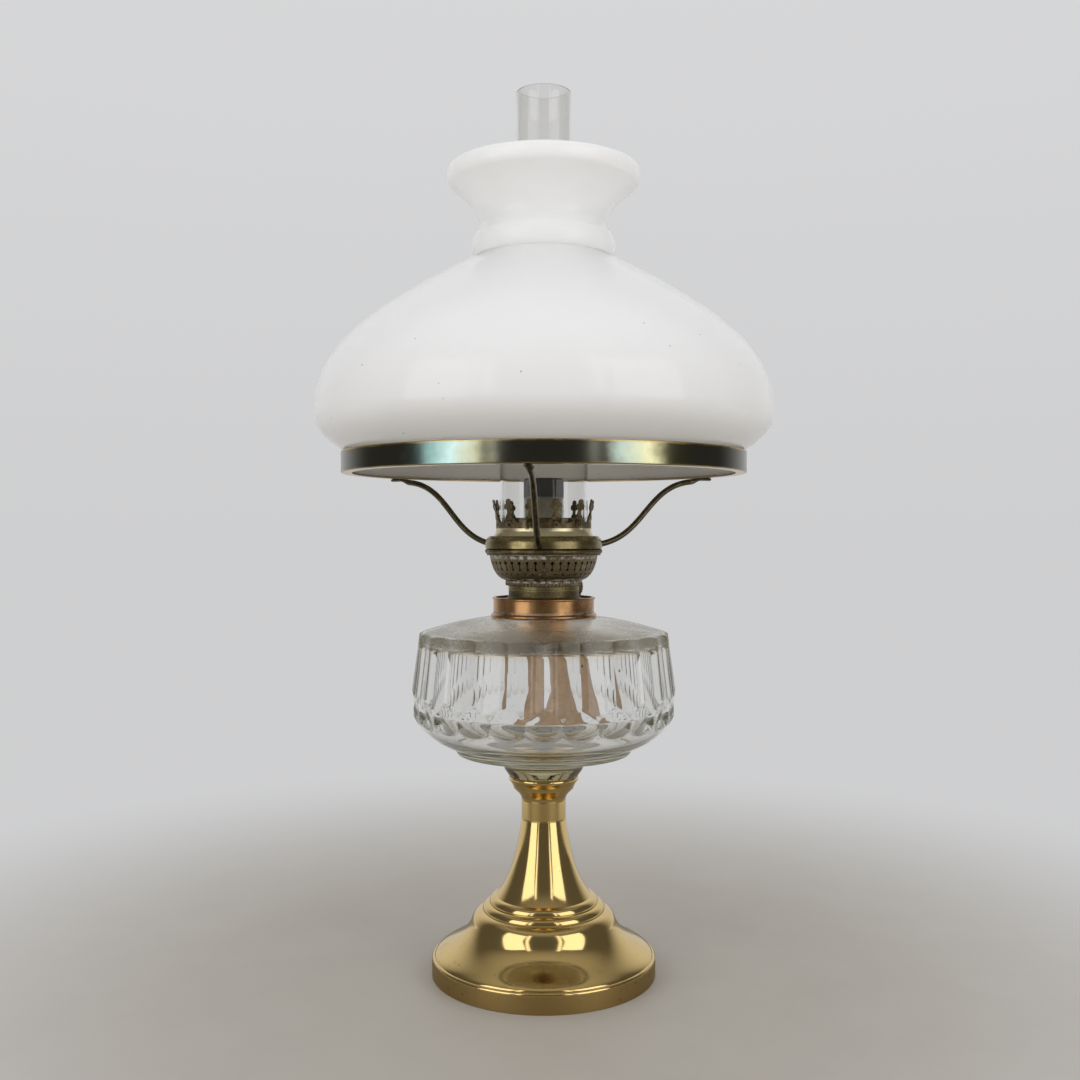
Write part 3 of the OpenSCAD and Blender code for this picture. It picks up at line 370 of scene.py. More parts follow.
def copper_brass(colours):
    """Copper brown collar with darker blotches and a little tin grey in its creases."""
    f, place = finish("copper_brass")
    x, y, z = f.parts(place)
    blotch = f.noise(place, 75, 5, 0.6)
    lines = f.noise(f.vector(x * 20, y * 20, z * 2200), 1.0, 2)
    base = low("font_collar") * MM
    crease = z.band(base + 0.0026, base + 0.0036, 0.0005) * f.noise(place, 260, 3).step(0.35, 0.6)
    skin = f.mix(blotch.step(0.4, 0.72), colours.copper, [0.5 * c for c in colours.copper])
    return f.done(f.surface(
        Base_Color=f.mix(crease * 0.7, skin, (0.42, 0.38, 0.31)),
        Metallic=1.0,
        Roughness=0.14 + blotch * 0.18 + lines * 0.05 + crease * 0.2,
        Normal=f.bump(lines + blotch, 0.015, 0.5),
    ))


def dark_bronze(colours):
    """Dark olive bronze, rubbed brighter here and there."""
    f, place = finish("dark_bronze")
    cloud = f.noise(place, 140, 5, 0.65)
    grain = f.noise(place, 1100, 2)
    rubbed = cloud.step(0.5, 0.75)
    return f.done(f.surface(
        Base_Color=f.mix(rubbed * 0.6, colours.bronze, (0.38, 0.29, 0.13)),
        Metallic=1.0,
        Roughness=0.2 - rubbed * 0.06 + grain * 0.1,
        Normal=f.bump(grain, 0.02, 0.5),
    ))


def patinated_ring(colours):
    """Dark skin on brass with a painted sheen, teal and straw on its left side and green and yellow on
    its right, and brightened along its upper edge, partly by wear and partly by a painted highlight.
    """
    f, place = finish("patinated_ring")
    x, y, z = f.parts(place)
    cloud = f.noise(place, 60, 5, 0.65)
    streak = f.noise(f.vector(x * 9, y * 9, z * 60), 1.0, 3, 0.5)
    # Painted sheen: colour stops laid out across x stand in for gleams, teal on the left and yellow green
    # on the right.
    sheen_across = x + (cloud - 0.5) * 0.02 + (streak - 0.5) * 0.015
    dark, teal, pale, straw = colours.patina, (0.22, 0.36, 0.34), (0.46, 0.62, 0.59), (0.46, 0.46, 0.31)
    green, yellow, olive = (0.36, 0.45, 0.39), (0.62, 0.6, 0.36), (0.2, 0.19, 0.1)
    painted_sheen = f.ramp(
        sheen_across * 4 + 0.5,
        (0.2, dark), (0.27, teal), (0.32, pale), (0.37, straw), (0.42, dark),
        (0.62, dark), (0.66, green), (0.71, yellow), (0.76, olive), (0.82, dark),
    )
    top = high("shade_ring") * MM
    scratch = f.noise(f.vector(x * 30, y * 30, z * 900), 1.0, 3)
    # The upper edge and the lower flange are brightened, partly by wear and partly by a painted
    # highlight.
    edge = (z + (cloud - 0.5) * 0.0024).step(top - 0.0016, top - 0.0004)
    foot = 1 - (z + (cloud - 0.5) * 0.003).step(top - 0.0125, top - 0.0112)
    wear_and_highlight = (edge + foot * 0.6 + scratch.step(0.66, 0.8) * 0.35).clamped()
    outer = reach("shade_ring") * MM
    brightened = 1 - ((x * x + y * y) ** 0.5).step(outer - 0.0008, outer - 0.0004)
    return f.done(f.surface(
        Base_Color=f.mix(brightened, f.mix(wear_and_highlight, painted_sheen, (0.55, 0.42, 0.17)), (0.66, 0.54, 0.32)),
        Metallic=1.0,
        Roughness=0.12 + cloud * 0.12 + wear_and_highlight * 0.1,
        Normal=f.bump(scratch + cloud, 0.015, 0.5),
    ))


def clear_glass(name, tint, haze, specks, levels=(), dusty=None, depth=None):
    """Clear glass that lets lamplight through, with haze and specks.

    levels are bands of other colour, on the font including a painted reflection of the brass cup; dusty
    is the height above which dust lies, and depth is the colour of thick glass.
    """
    f, place = finish(name)
    z = f.parts(place)[2]
    film = f.noise(place, 30, 5, 0.6)
    dirt = f.specks(place, 150, 0.16, specks)
    body = f.mix(film.step(0.4, 0.9) * 0.04, tint, (0.7, 0.7, 0.66))
    for start, end, soft, band_colour in levels:
        body = f.mix(z.band(start * MM, end * MM, soft * MM), body, band_colour)
    wave = f.noise(place, 38, 2)
    rough = film.step(0.5, 0.85) * haze
    if dusty:
        rough = rough + z.step(dusty * MM, dusty * MM + 0.003) * film.step(0.2, 0.7) * 0.36
    glass = f.surface(
        Base_Color=f.mix(dirt, body, (0.12, 0.1, 0.07)),
        Roughness=rough,
        Transmission_Weight=1.0,
        Normal=f.bump(wave, 0.25, 0.3),
    )
    lamp_ray = f.add("ShaderNodeLightPath", output="Is Shadow Ray")
    through = f.add("ShaderNodeBsdfTransparent", inputs={"Color": [0.97 * c for c in tint]})
    shader = f.add("ShaderNodeMixShader", inputs={0: lamp_ray, 1: glass, 2: through})
    filling = depth and f.add("ShaderNodeVolumeAbsorption", inputs={"Color": depth, "Density": 36.0})
    return f.done(shader, filling)


def opal_glass(colours):
    """Glossy white opal glass with faint clouds, tiny dark specks and a warmer inside."""
    f, place = finish("opal_glass")
    cloud = f.noise(place, 14, 4, 0.6)
    dust = f.noise(place, 70, 5, 0.6)
    specks = f.specks(place, 95, 0.055, 0.16) + f.specks(place, 260, 0.13, 0.03)
    creamy = [c * k for c, k in zip(colours.opal, (0.97, 0.97, 0.94))]
    white = f.mix(cloud.step(0.35, 0.75) * 0.5, colours.opal, creamy)
    inside = f.add("ShaderNodeAttribute", {"attribute_name": "inside"}, output="Fac")
    white = f.mix(inside * (0.75 + cloud * 0.25), white, (0.98, 0.965, 0.89))
    return f.done(f.surface(
        Base_Color=f.mix(specks * 0.75, white, (0.2, 0.17, 0.12)),
        Roughness=0.05 + dust * 0.07 + specks * 0.3,
        Specular_IOR_Level=0.35,
        Subsurface_Weight=1.0,
        Subsurface_Radius=(0.0045, 0.0045, 0.0043),
        Subsurface_Scale=1.0,
        Normal=f.bump(f.noise(place, 11, 2) + dust * 0.02, 0.5, 0.12),
    ))


def woven_cotton(colours, weave):
    """Plain woven cotton, stained by oil and charred at its upper end."""
    f, place = finish("woven_cotton")
    across, along, _ = f.parts(f.add("ShaderNodeUVMap", {"uv_map": "weave"}))
    wave = TAU / (weave / MM) * 0.5
    warp = (across * wave).maths("SINE", across * wave)
    weft = (along * wave).maths("SINE", along * wave)
    over = (warp * weft).step(-0.5, 0.5)
    threads = over * (warp * warp) + (1 - over) * (weft * weft)
    z = f.parts(place)[2]
    cloud = f.noise(place, 90, 5, 0.65)
    fuzz = f.noise(place, 2600, 2)
    top = high("wick") * MM
    char = (z + (cloud - 0.5) * 0.003).step(top - 0.006, top - 0.002)
    pale = f.mix(cloud.step(0.3, 0.75), colours.cotton, [min(1, 1.35 * c) for c in colours.cotton])
    # Painted shade darkens the gaps between the threads.
    cloth_and_thread_shade = f.mix((1 - threads) * 0.45, pale, [0.5 * c for c in colours.cotton])
    return f.done(f.surface(
        Base_Color=f.mix(char, cloth_and_thread_shade, (0.008, 0.007, 0.006)),
        Roughness=0.86 + fuzz * 0.1,
        Sheen_Weight=0.25,
        Normal=f.bump(threads + fuzz * 0.25, 0.35, 0.8),
    ))


def soft_felt(colours):
    """Pressed felt with a short fuzzy nap."""
    f, place = finish("soft_felt")
    fuzz = f.noise(place, 1900, 4, 0.7)
    cloud = f.noise(place, 70, 4)
    return f.done(f.surface(
        Base_Color=f.mix(fuzz * 0.6 + cloud * 0.3, colours.felt, [2.1 * c for c in colours.felt]),
        Roughness=0.95 - fuzz * 0.06,
        Sheen_Weight=0.4,
        Normal=f.bump(fuzz, 0.3, 0.8),
    ))


def grained(name, dark, pale, scale, roughness, metallic=0.0, depth=0.05):
    """A plain material whose colour, gloss and relief follow one grain."""
    f, place = finish(name)
    grain = f.noise(place, scale, 5, 0.65)
    patch = f.noise(place, scale * 0.12, 3)
    return f.done(f.surface(
        Base_Color=f.mix((grain * 0.7 + patch * 0.5).step(0.3, 0.85), dark, pale),
        Metallic=metallic,
        Roughness=roughness + (grain - 0.5) * 0.2,
        Normal=f.bump(grain, depth, 0.6),
    ))


# Outlines, as rows of (radius, height) in mm

def curve(p0, p1, p2, p3, count):
    """Points on a cubic curve from p0 to p3."""
    t = np.linspace(0, 1, count + 1)[:, None]
    p0, p1, p2, p3 = (np.array(p, float) for p in (p0, p1, p2, p3))
    return (1 - t) ** 3 * p0 + 3 * (1 - t) ** 2 * t * p1 + 3 * (1 - t) * t * t * p2 + t ** 3 * p3


def bent(a, b, first, second, count):
    """A cubic curve from a to b whose two handles are shares of the way across and up."""
    a, b = np.array(a, float), np.array(b, float)
    return curve(a, a + (b - a) * np.array(first), a + (b - a) * np.array(second), b, count)


def arc(centre, radius, start, end, count=14):
    """Points on a circular arc, angles in degrees."""
    a = np.radians(np.linspace(start, end, count + 1))
    return np.array(centre, float) + radius * np.stack([np.cos(a), np.sin(a)], 1)


def bulge(a, b, height, count=16):
    """A circular arc from a to b that bulges by height to the right of its way."""
    a, b = np.array(a, float), np.array(b, float)
    way = b - a
    half = np.linalg.norm(way) / 2
    radius = (half * half + height * height) / (2 * height)
    side = np.array([way[1], -way[0]]) / (2 * half)
    centre = (a + b) / 2 - side * (radius - height)
    start = math.degrees(math.atan2(a[1] - centre[1], a[0] - centre[0]))
    turn = 2 * math.degrees(math.asin(min(1, half / radius)))
    return arc(centre, radius, start, start + (360 - turn if height > half else turn), count)


def inset(path, distance):
    """The same path moved to the left of its way."""
    path = np.array(path, float)
    way = np.gradient(path, axis=0)
    way = way / np.maximum(np.linalg.norm(way, axis=1, keepdims=True), 1e-9)
    return path + distance * np.stack([-way[:, 1], way[:, 0]], 1)


def share(a, b, part):
    """A value or point part of the way from a to b."""
    return a + (b - a) * part


def smooth(value, start, end):
    """0 before start, 1 after end, smooth between them."""
    t = min(1.0, max(0.0, (value - start) / (end - start)))
    return t * t * (3 - 2 * t)


def joined(*paths):
    """One path from several, without repeated points."""
    points = np.concatenate([np.array(p, float).reshape(-1, 2) for p in paths])
    keep = np.concatenate([[True], np.linalg.norm(np.diff(points, axis=0), axis=1) > 1e-6])
    return points[keep]


# Meshes

def piece(name, points, faces, material, sharp=30.0):
    """A new object from points in mm, smooth except along edges sharper than an angle."""
    mesh = bpy.data.meshes.new(name)
    mesh.from_pydata((np.asarray(points, float) * MM).tolist(), [], faces)
    mesh.update()
    return shown(name, mesh, material, sharp)


def shown(name, mesh, material, sharp):
    """Link a mesh as an object with one material."""
    mesh.shade_smooth()
    mesh.set_sharp_from_angle(angle=math.radians(sharp))
    mesh.materials.clear()
    mesh.materials.append(material)
    obj = bpy.data.objects.new(name, mesh)
    bpy.context.scene.collection.objects.link(obj)
    return obj


def turned(name, outline, material, steps=168, sharp=30.0, shape=None):
    """A closed outline turned round the lamp's axis; shape may change the radii by angle and height."""
    outline = joined(outline)
    if np.linalg.norm(outline[0] - outline[-1]) < 1e-6:
        outline = outline[:-1]
    angles = np.asarray(steps if hasattr(steps, "__len__") else np.arange(steps) * TAU / steps)
    count = len(angles)
    points, rows = [], []
    for radius, height in outline:
        if radius < 1e-6:
            rows.append([len(points)] * count)
            points.append((0, 0, height))
            continue
        radii = np.full(count, radius) if shape is None else shape(radius, height, angles)
        rows.append(list(range(len(points), len(points) + count)))
        points.extend(zip(radii * np.cos(angles), radii * np.sin(angles), np.full(count, height)))
    faces = []
    for a, b in zip(rows, rows[1:] + rows[:1]):
        if a[0] == a[-1] and b[0] == b[-1]:
            continue
        for j in range(count):
            k = (j + 1) % count
            corners = (a[j], a[k], b[k], b[j])
            faces.append(tuple(dict.fromkeys(corners)))
    return piece(name, points, faces, material, sharp)


def tube(rings, sides):
    """Faces of a closed tube from rings of points."""
    faces = [tuple(reversed(range(sides))), tuple(range((rings - 1) * sides, rings * sides))]
    for a in range(0, (rings - 1) * sides, sides):
        for k in range(sides):
            m, b = (k + 1) % sides, a + sides
            faces.append((a + k, a + m, b + m, b + k))
    return faces


def refined(node, material):
    """A merged and smoothed copy of a CAD node that takes its place."""
    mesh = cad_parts[node].data.copy()
    work = bmesh.new()
    work.from_mesh(mesh)
    bmesh.ops.remove_doubles(work, verts=work.verts, dist=1e-6)
    work.to_mesh(mesh)
    work.free()
    return shown(node + "_look", mesh, material, 25.0)


def settle(obj, body, slot, *nodes):
    """Let a finished piece ride on its body in place of CAD nodes."""
    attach(obj, body)
    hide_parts(*nodes)


def dress(node, material):
    """Give a CAD node that keeps its shape a better material."""
    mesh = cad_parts[node].data
    mesh.materials.clear()
    mesh.materials.append(material)


def repeated(name, unit, count, start, material):
    """Geometry Nodes: copies of a unit mesh round the lamp's axis, as one plain mesh."""
    tree = bpy.data.node_groups.new(name + "_round", "GeometryNodeTree")
    for label, kind in (("Unit", "NodeSocketGeometry"), ("Count", "NodeSocketInt"),
                        ("Start", "NodeSocketFloat"), ("Material", "NodeSocketMaterial")):
        tree.interface.new_socket(label, in_out="INPUT", socket_type=kind)
    tree.interface.new_socket("Ring", in_out="OUTPUT", socket_type="NodeSocketGeometry")

    def node(kind, settings=None, **links):
        made = tree.nodes.new(kind)
        for key, value in (settings or {}).items():
            setattr(made, key, value)
        for key, value in links.items():
            socket = made.inputs[int(key[1:])] if key[0] == "_" else made.inputs[key]
            if isinstance(value, bpy.types.NodeSocket):
                tree.links.new(value, socket)
            else:
                socket.default_value = value
        return made

    given = node("NodeGroupInput").outputs
    line = node("GeometryNodeMeshLine", Count=given["Count"], Offset=(0, 0, 0))
    part = node("ShaderNodeMath", {"operation": "DIVIDE"}, _0=TAU, _1=given["Count"])
    turn = node("ShaderNodeMath", {"operation": "MULTIPLY_ADD"},
                _0=node("GeometryNodeInputIndex").outputs[0], _1=part.outputs[0], _2=given["Start"])
    euler = node("ShaderNodeCombineXYZ", Z=turn.outputs[0])
    rotation = node("FunctionNodeEulerToRotation", _0=euler.outputs[0])
    copies = node("GeometryNodeInstanceOnPoints", Points=line.outputs[0], Instance=given["Unit"],
                  Rotation=rotation.outputs[0])
    real = node("GeometryNodeRealizeInstances", Geometry=copies.outputs[0])
    painted = node("GeometryNodeSetMaterial", Geometry=real.outputs[0], Material=given["Material"])
    node("NodeGroupOutput", Ring=painted.outputs[0])

    modifier = unit.modifiers.new("round", "NODES")
    modifier.node_group = tree
    names = {s.name: s.identifier for s in tree.interface.items_tree if s.in_out == "INPUT"}
    modifier[names["Count"]] = count
    modifier[names["Start"]] = start
    modifier[names["Material"]] = material
    bpy.context.view_layer.update()
    ready = unit.evaluated_get(bpy.context.evaluated_depsgraph_get())
    mesh = bpy.data.meshes.new_from_object(ready)
    unit.modifiers.clear()
    bpy.data.objects.remove(unit)
    mesh.name = name
    return shown(name, mesh, material, 30.0)


def merged(name, parts, material):
    """Several objects as one."""
    work = bmesh.new()
    for part in parts:
        work.from_mesh(part.data)
        bpy.data.objects.remove(part)
    mesh = bpy.data.meshes.new(name)
    work.to_mesh(mesh)
    work.free()
    return shown(name, mesh, material, 30.0)


# Outlines of the main pieces

def foot_outline(s):
    """Rim band, flare, bell, two beads and stem, with the sheet's inside."""
    edge, rim, rnd, wall, lip = s.foot_radius / MM, s.foot_rim / MM, 1.6, 1.0, 4.0
    bell = np.array([s.bell_radius / MM, s.bell_height / MM])
    bead = s.bead / MM * np.array([-1, 1])
    top = np.array([STEM_RADIUS, high("foot_shell")])
    start = np.array([edge - rnd, rim])
    groove = bell + 6.5 * np.array([-1, 1])
    mid, last = groove + bead, groove + 2 * bead
    rounding = arc((edge - rnd, rim - rnd), rnd, 0, 90, 8)
    flare = bent(start, bell, (0.05, 0.2), (0.815, 0.384), 60)
    shoulder = bent(bell, groove, (0.19, 0.58), (0.5, 0.88), 18)
    stem = bent(last, top, (0.57, 0.25), (0.755, 0.48), 48)
    outer = joined([[edge - 0.4, 0], [edge, 0.4]], rounding, flare, shoulder,
                   bulge(groove, mid, 1.2), bulge(mid, last, 1.2), stem)
    inner = inset(joined([[edge, wall]], rounding, flare, shoulder, stem), wall)
    return joined(outer, inner[::-1], [[edge - lip, wall], [edge - lip, 0]])


def cup_outline():
    """Bell, step, flare and rolled rim of the cup, with its bore and the boss below."""
    base, rim = high("stem_sleeve") + 0.03, high("font_cup")
    r0, r1 = STEM_RADIUS, reach("font_cup")
    step = base + 0.44 * (rim - base)
    low_side = curve((r0, base), (r0 + 0.2, share(base, step, 0.5)),
                     (share(r0, r1, 0.35), share(base, step, 0.75)), (share(r0, r1, 0.52), step), 16)
    side = curve((share(r0, r1, 0.6), step + 0.6), (share(r0, r1, 0.66), share(step, rim - 2.6, 0.5)),
                 (share(r0, r1, 0.78), share(step, rim - 2.6, 0.8)), (share(r0, r1, 0.9), rim - 2.6), 14)
    lip = bulge((share(r0, r1, 0.9), rim - 2.6), (r1 - 0.5, rim), 0.5, 12)
    floor, boss, rod = base + 2.6, base - 7, 4.03
    bore = [[r1 - 1.7, rim], [r1 - 1.7, rim - 2.6], [r0 - 0.24, floor], [rod, floor], [rod, boss]]
    return joined([[8, boss], [8, base]], low_side, side, lip, bore)


def font_outlines(s):
    """Outer curve of the glass from peg to neck, and the curve of its hollow from neck to floor."""
    edge, peg, rim, bowl = s.font_edge / MM, low("font"), high("font_cup"), 131.3
    wide, shoulder, collar = bowl + 37, bowl + 70, low("font_collar")
    neck_out, neck_in, neck_top = 28.1, 25.9, high("font")
    start, end = np.array([52.75, bowl + 3.6]), np.array([edge + 1.5, wide])
    top_edge, roof = np.array([76.0, shoulder - 3]), np.array([71.1, shoulder + 2.4])
    outer = joined(
        [[0, peg], [12.3, peg], [18.8, rim - 2.6], [18.8, rim + 0.2], [20.8, rim + 0.6]],
        curve((23.4, rim + 4.3), (24.9, share(rim + 4.3, bowl, 0.55)),
              (29.3, bowl + 0.5), (35.2, bowl + 0.6), 12),
        [[46.25, bowl + 0.6], [46.85, bowl]],
        curve((49.25, bowl), (51.25, bowl + 0.2), (52.25, bowl + 1), (52.25, bowl + 2), 8),
        curve(start, (share(start[0], end[0], 0.4), share(start[1], end[1], 0.14)),
              (end[0] + 0.2, share(start[1], end[1], 0.365)), end, 64),
        bent(end, top_edge, (0, 0.4), (0.55, 0.78), 30),
        curve(top_edge, (top_edge[0] - 0.6, share(top_edge[1], roof[1], 0.6)),
              (share(top_edge[0], roof[0], 0.4), roof[1] - 0.5), roof, 16),
        curve(roof, (share(roof[0], neck_out, 0.3), share(roof[1], collar, 0.5)),
              (share(roof[0], neck_out, 0.7), share(roof[1], collar, 0.95)),
              (neck_out + 1.6, collar - 0.03), 16),
        [[neck_out, collar - 0.03], [neck_out, neck_top]],
    )
    floor, wall = bowl + 7.5, 5.0
    side_low = np.array([edge - wall, wide - 4])
    side_top = np.array([74.5 - wall + 1, shoulder - wall - 3])
    roof_out = np.array([side_top[0] - 7, shoulder - wall + 2.4])
    roof_in = np.array([neck_in + 4, collar - wall])
    hollow = joined(
        [[0, floor]],
        curve((44.25, floor), (58.25, floor + 1),
              (side_low[0], share(floor, side_low[1], 0.3)), side_low, 30),
        curve(side_top, side_top + (0, 3.5), roof_out + (4, -0.4), roof_out, 14),
        curve(roof_in, (neck_in + 1.5, roof_in[1] + 0.5),
              (neck_in, roof_in[1] + 1.5), (neck_in, roof_in[1] + 4), 10),
        [[neck_in, neck_top]],
    )
    return joined(outer, hollow[::-1]), wide


def font_cuts(s, wide):
    """Radius left by the hollow panels and flutes, as a function of body radius, height and angles."""
    edge, soft = s.font_edge / MM, s.font_softness / MM
    half = math.pi / s.font_panels
    lean = (edge - 74.5) / 33.0
    flute, hollow, slant, depth = 32.0, 32.0, 0.437, 3.7
    axis = edge * math.cos(half) + math.sqrt(hollow ** 2 - (edge * math.sin(half)) ** 2)

    def soft_least(a, b):
        near = np.maximum(soft - np.abs(a - b), 0) / soft
        return np.minimum(a, b) - near * near * soft / 4

    def shape(radius, height, angles):
        result = np.full(len(angles), radius, float)
        if radius < 50 or height < 135:
            return result
        rise = height - wide
        turn = (angles + math.pi / 2) / (2 * half)
        if rise > -12:
            off = (turn - np.floor(turn) - 0.5) * 2 * half
            middle = axis - rise * lean
            panel = middle * np.cos(off) - np.sqrt(hollow ** 2 - (middle * np.sin(off)) ** 2)
            result = soft_least(result, panel)
        off = (turn - np.round(turn)) * 2 * half
        middle = edge + max(slant * rise, -depth) + flute
        cut = middle * np.cos(off) - np.sqrt(flute ** 2 - (middle * np.sin(off)) ** 2)
        return soft_least(result, cut)

    return shape


def font_angles(s):
    """Angles round the font, closer together near the panels' edges."""
    half = [0, 0.018, 0.045, 0.085, 0.135, 0.195, 0.255, 0.315, 0.375, 0.44]
    part = np.array(half + [0.5] + [1 - h for h in half[:0:-1]])
    width = TAU / s.font_panels
    return np.concatenate([(i + part) * width for i in range(s.font_panels)]) - math.pi / 2


def collar_outline(s):
    """Skirt with a foot bead and a rolled rim, seat for the burner and threaded sleeve."""
    r, base, top = s.collar_radius / MM, low("font_collar"), high("font_collar")
    seat, thread, wall = top - 3.6, 24.0, 1.2
    skirt, foot, sleeve = r - wall, base + 0.7, thread + wall
    return joined(
        [[skirt, base]], bulge((r + 0.6, base), (r + 0.6, base + 2.2), 0.88, 12),
        curve((r + 0.5, base + 2.25), (r + 0.15, base + 2.4), (r, base + 2.8), (r, base + 3.6), 6),
        [[r, top - 1.5]], bulge((r, top - 1.4), (r, top), 0.66, 12), [[skirt, top]],
        [[skirt, seat], [thread, seat], [thread, foot], [sleeve, foot]],
        [[sleeve, seat - wall], [skirt, seat - wall]],
    )


def burner_outline():
    """Screw spigot, flange and neck of the burner."""
    base, top = low("burner_gasket") + 1.1, high("burner_base")
    neck, inner, spigot, flange = 20.9, BURNER_BORE, 23.92, 27.6
    flare, end = base + 1.2, base - 7.6
    return joined(
        [[inner, end], [spigot, end], [spigot, base]],
        [[flange, base], [flange, flare - 0.3], [flange - 0.3, flare]],
        curve((neck + 4.4, flare), (neck + 1.5, flare + 0.2), (neck, flare + 1), (neck, flare + 3.2), 14),
        [[neck, top - 2.2]], bulge((neck, top - 2.2), (neck, top - 1.2), 0.25, 6),
        [[neck, top], [inner, top]],
    )


def dome_outline():
    """Rim bead, wall inside the holder's ring and the step up to the chimney's ledge."""
    base, top, rim = span("gallery_dome")
    holder = base + 3
    seat, crown, rise = 31.2, 28.4, top - holder
    bead, sheet = 1.5, 0.8
    side = joined(
        [[seat, holder], [seat, holder + 0.48 * rise]],
        curve((seat - 0.2, holder + 0.48 * rise + 0.4), (share(seat, crown, 0.35), holder + 0.62 * rise),
              (share(seat, crown, 0.75), holder + 0.74 * rise), (crown, holder + 0.92 * rise), 14),
    )
    return joined(
        [[rim - bead - sheet, base]], bulge((rim - bead, base), (rim - bead, holder), 0.96 * bead, 16),
        side, [[crown, top], [crown - 4, top], [crown - 4, top - sheet]], inset(side, sheet)[::-1],
        [[rim - bead - sheet, holder - sheet]],
    )


def chimney_outline(s):
    """Wide part, drawn-in shoulder, narrow tube and fire-polished top."""
    base, top, r = span("chimney")
    wall = s.chimney_wall / MM
    wide, waist = base + 62, np.array([17.5, base + 73])
    end = np.array([16.4, top - wall / 2])
    outer = joined(
        [[r, base + 0.3], [r, wide - 6]],
        curve((r, wide), (r, wide + 6.6), (waist[0], waist[1] - 8.25), waist, 30),
        [share(waist, end, k) for k in (0.05, 0.3, 0.6, 0.9)], [end],
    )
    inner = inset(outer, wall)
    return joined([[r - 0.3, base]], outer, bulge(end, inner[-1], 0.45 * wall, 14),
                  inner[::-1], [[inner[0][0] + 0.3, base]])


def shade_outline(s):
    """Straight rim, wide bowl, bead, neck and flared lip of the shade."""
    base, top, wide = span("shade")
    rim, wall = 117.7, s.shade_wall / MM
    rim_top = high("shade_ring") + 0.4
    middle = base + 33.6
    crease = np.array([41.2, base + 127])
    neck = np.array([38.2, crease[1] + 19])
    lip = np.array([57.6 - 2.3, top - 10.2])
    body = joined(
        [[rim, base + 0.6]],
        bent((rim, rim_top), (wide, middle), (0.37, 0.21), (1, 0.49), 32),
        bent((wide, middle), crease, (0, 0.4), (0.33, 0.63), 64),
    )
    above = neck[0] + 1.4
    bead = bulge(crease, (above, crease[1] + 15.2), 42.9 - (crease[0] + above) / 2, 24)
    flare = curve(neck, (neck[0] + 0.2, share(neck[1], lip[1], 0.34)),
                  (share(neck[0], lip[0], 0.34), share(neck[1], lip[1], 0.66)), lip, 28)
    edge = curve(lip, (57.9, lip[1] + 1.5), (58.2, top - 1), (55.4, top), 20)
    outside = joined(body, bead, flare)
    return joined([[rim - 0.6, base]], outside, edge, [[53, top - 1.2]], inset(outside, wall)[::-1],
                  [[rim - wall + 0.6, base]])


def wick_sheet(s, rows=110, columns=72):
    """The woven band: rolled round the draft tube, and opening out to the sides below the burner."""
    top, base, thick = high("wick"), low("wick"), s.wick / MM
    free, closing = low("burner_base"), 268.1
    # Radii of the rolled band and of its open tail, and the slit's half angles at the duct and above it
    middle, tail = 10.4, 15.0
    slit_open, slit_shut = math.degrees(math.asin(3.0 / 9.6)) + 1, 3
    points, uv = [], []
    for side in (-1, 1):
        for i in range(rows + 1):
            z = share(base, top, i / rows)
            loose = max(0.0, (free - z) / (free - base))
            r = share(middle, tail, loose)
            shut = min(1.0, max(0.0, (z - closing) / 12))
            half = math.radians(180 - share(slit_open, slit_shut, shut)) * middle
            facing = math.radians(-75) * loose
            out = np.array((math.cos(facing), math.sin(facing)))
            along = np.array((-out[1], out[0]))
            shift = np.array((12 * loose ** 1.2, 2 * loose ** 2))
            for j in range(columns + 1):
                t = 2 * j / columns - 1
                flat = 0.5 * smooth(loose, 0.4, 1) if t > 0 else 0.97 * smooth(loose, 0.7, 1)
                bend = (1 - flat) / r
                turn = bend * half * t
                normal = out * math.cos(turn) + along * math.sin(turn)
                ripple = 0.35 * loose * (math.sin(9 * turn + 14 * loose) + math.sin(z * 0.45))
                place = shift + out * r - (out - normal) / bend + normal * (side * thick / 2 + ripple)
                points.append((*place, z))
                uv.append((half * t, z - base))
    layer, wide = (rows + 1) * (columns + 1), columns + 1

    def at(side, i, j):
        return side * layer + i * wide + j

    faces = []
    for i in range(rows):
        for j in range(columns):
            faces.append((at(1, i, j), at(1, i, j + 1), at(1, i + 1, j + 1), at(1, i + 1, j)))
            faces.append((at(0, i, j), at(0, i + 1, j), at(0, i + 1, j + 1), at(0, i, j + 1)))
        faces.append((at(0, i, 0), at(1, i, 0), at(1, i + 1, 0), at(0, i + 1, 0)))
        faces.append((at(0, i, columns), at(0, i + 1, columns), at(1, i + 1, columns), at(1, i, columns)))
    for j in range(columns):
        faces.append((at(0, 0, j), at(0, 0, j + 1), at(1, 0, j + 1), at(1, 0, j)))
        faces.append((at(0, rows, j), at(1, rows, j), at(1, rows, j + 1), at(0, rows, j + 1)))
    return points, faces, uv


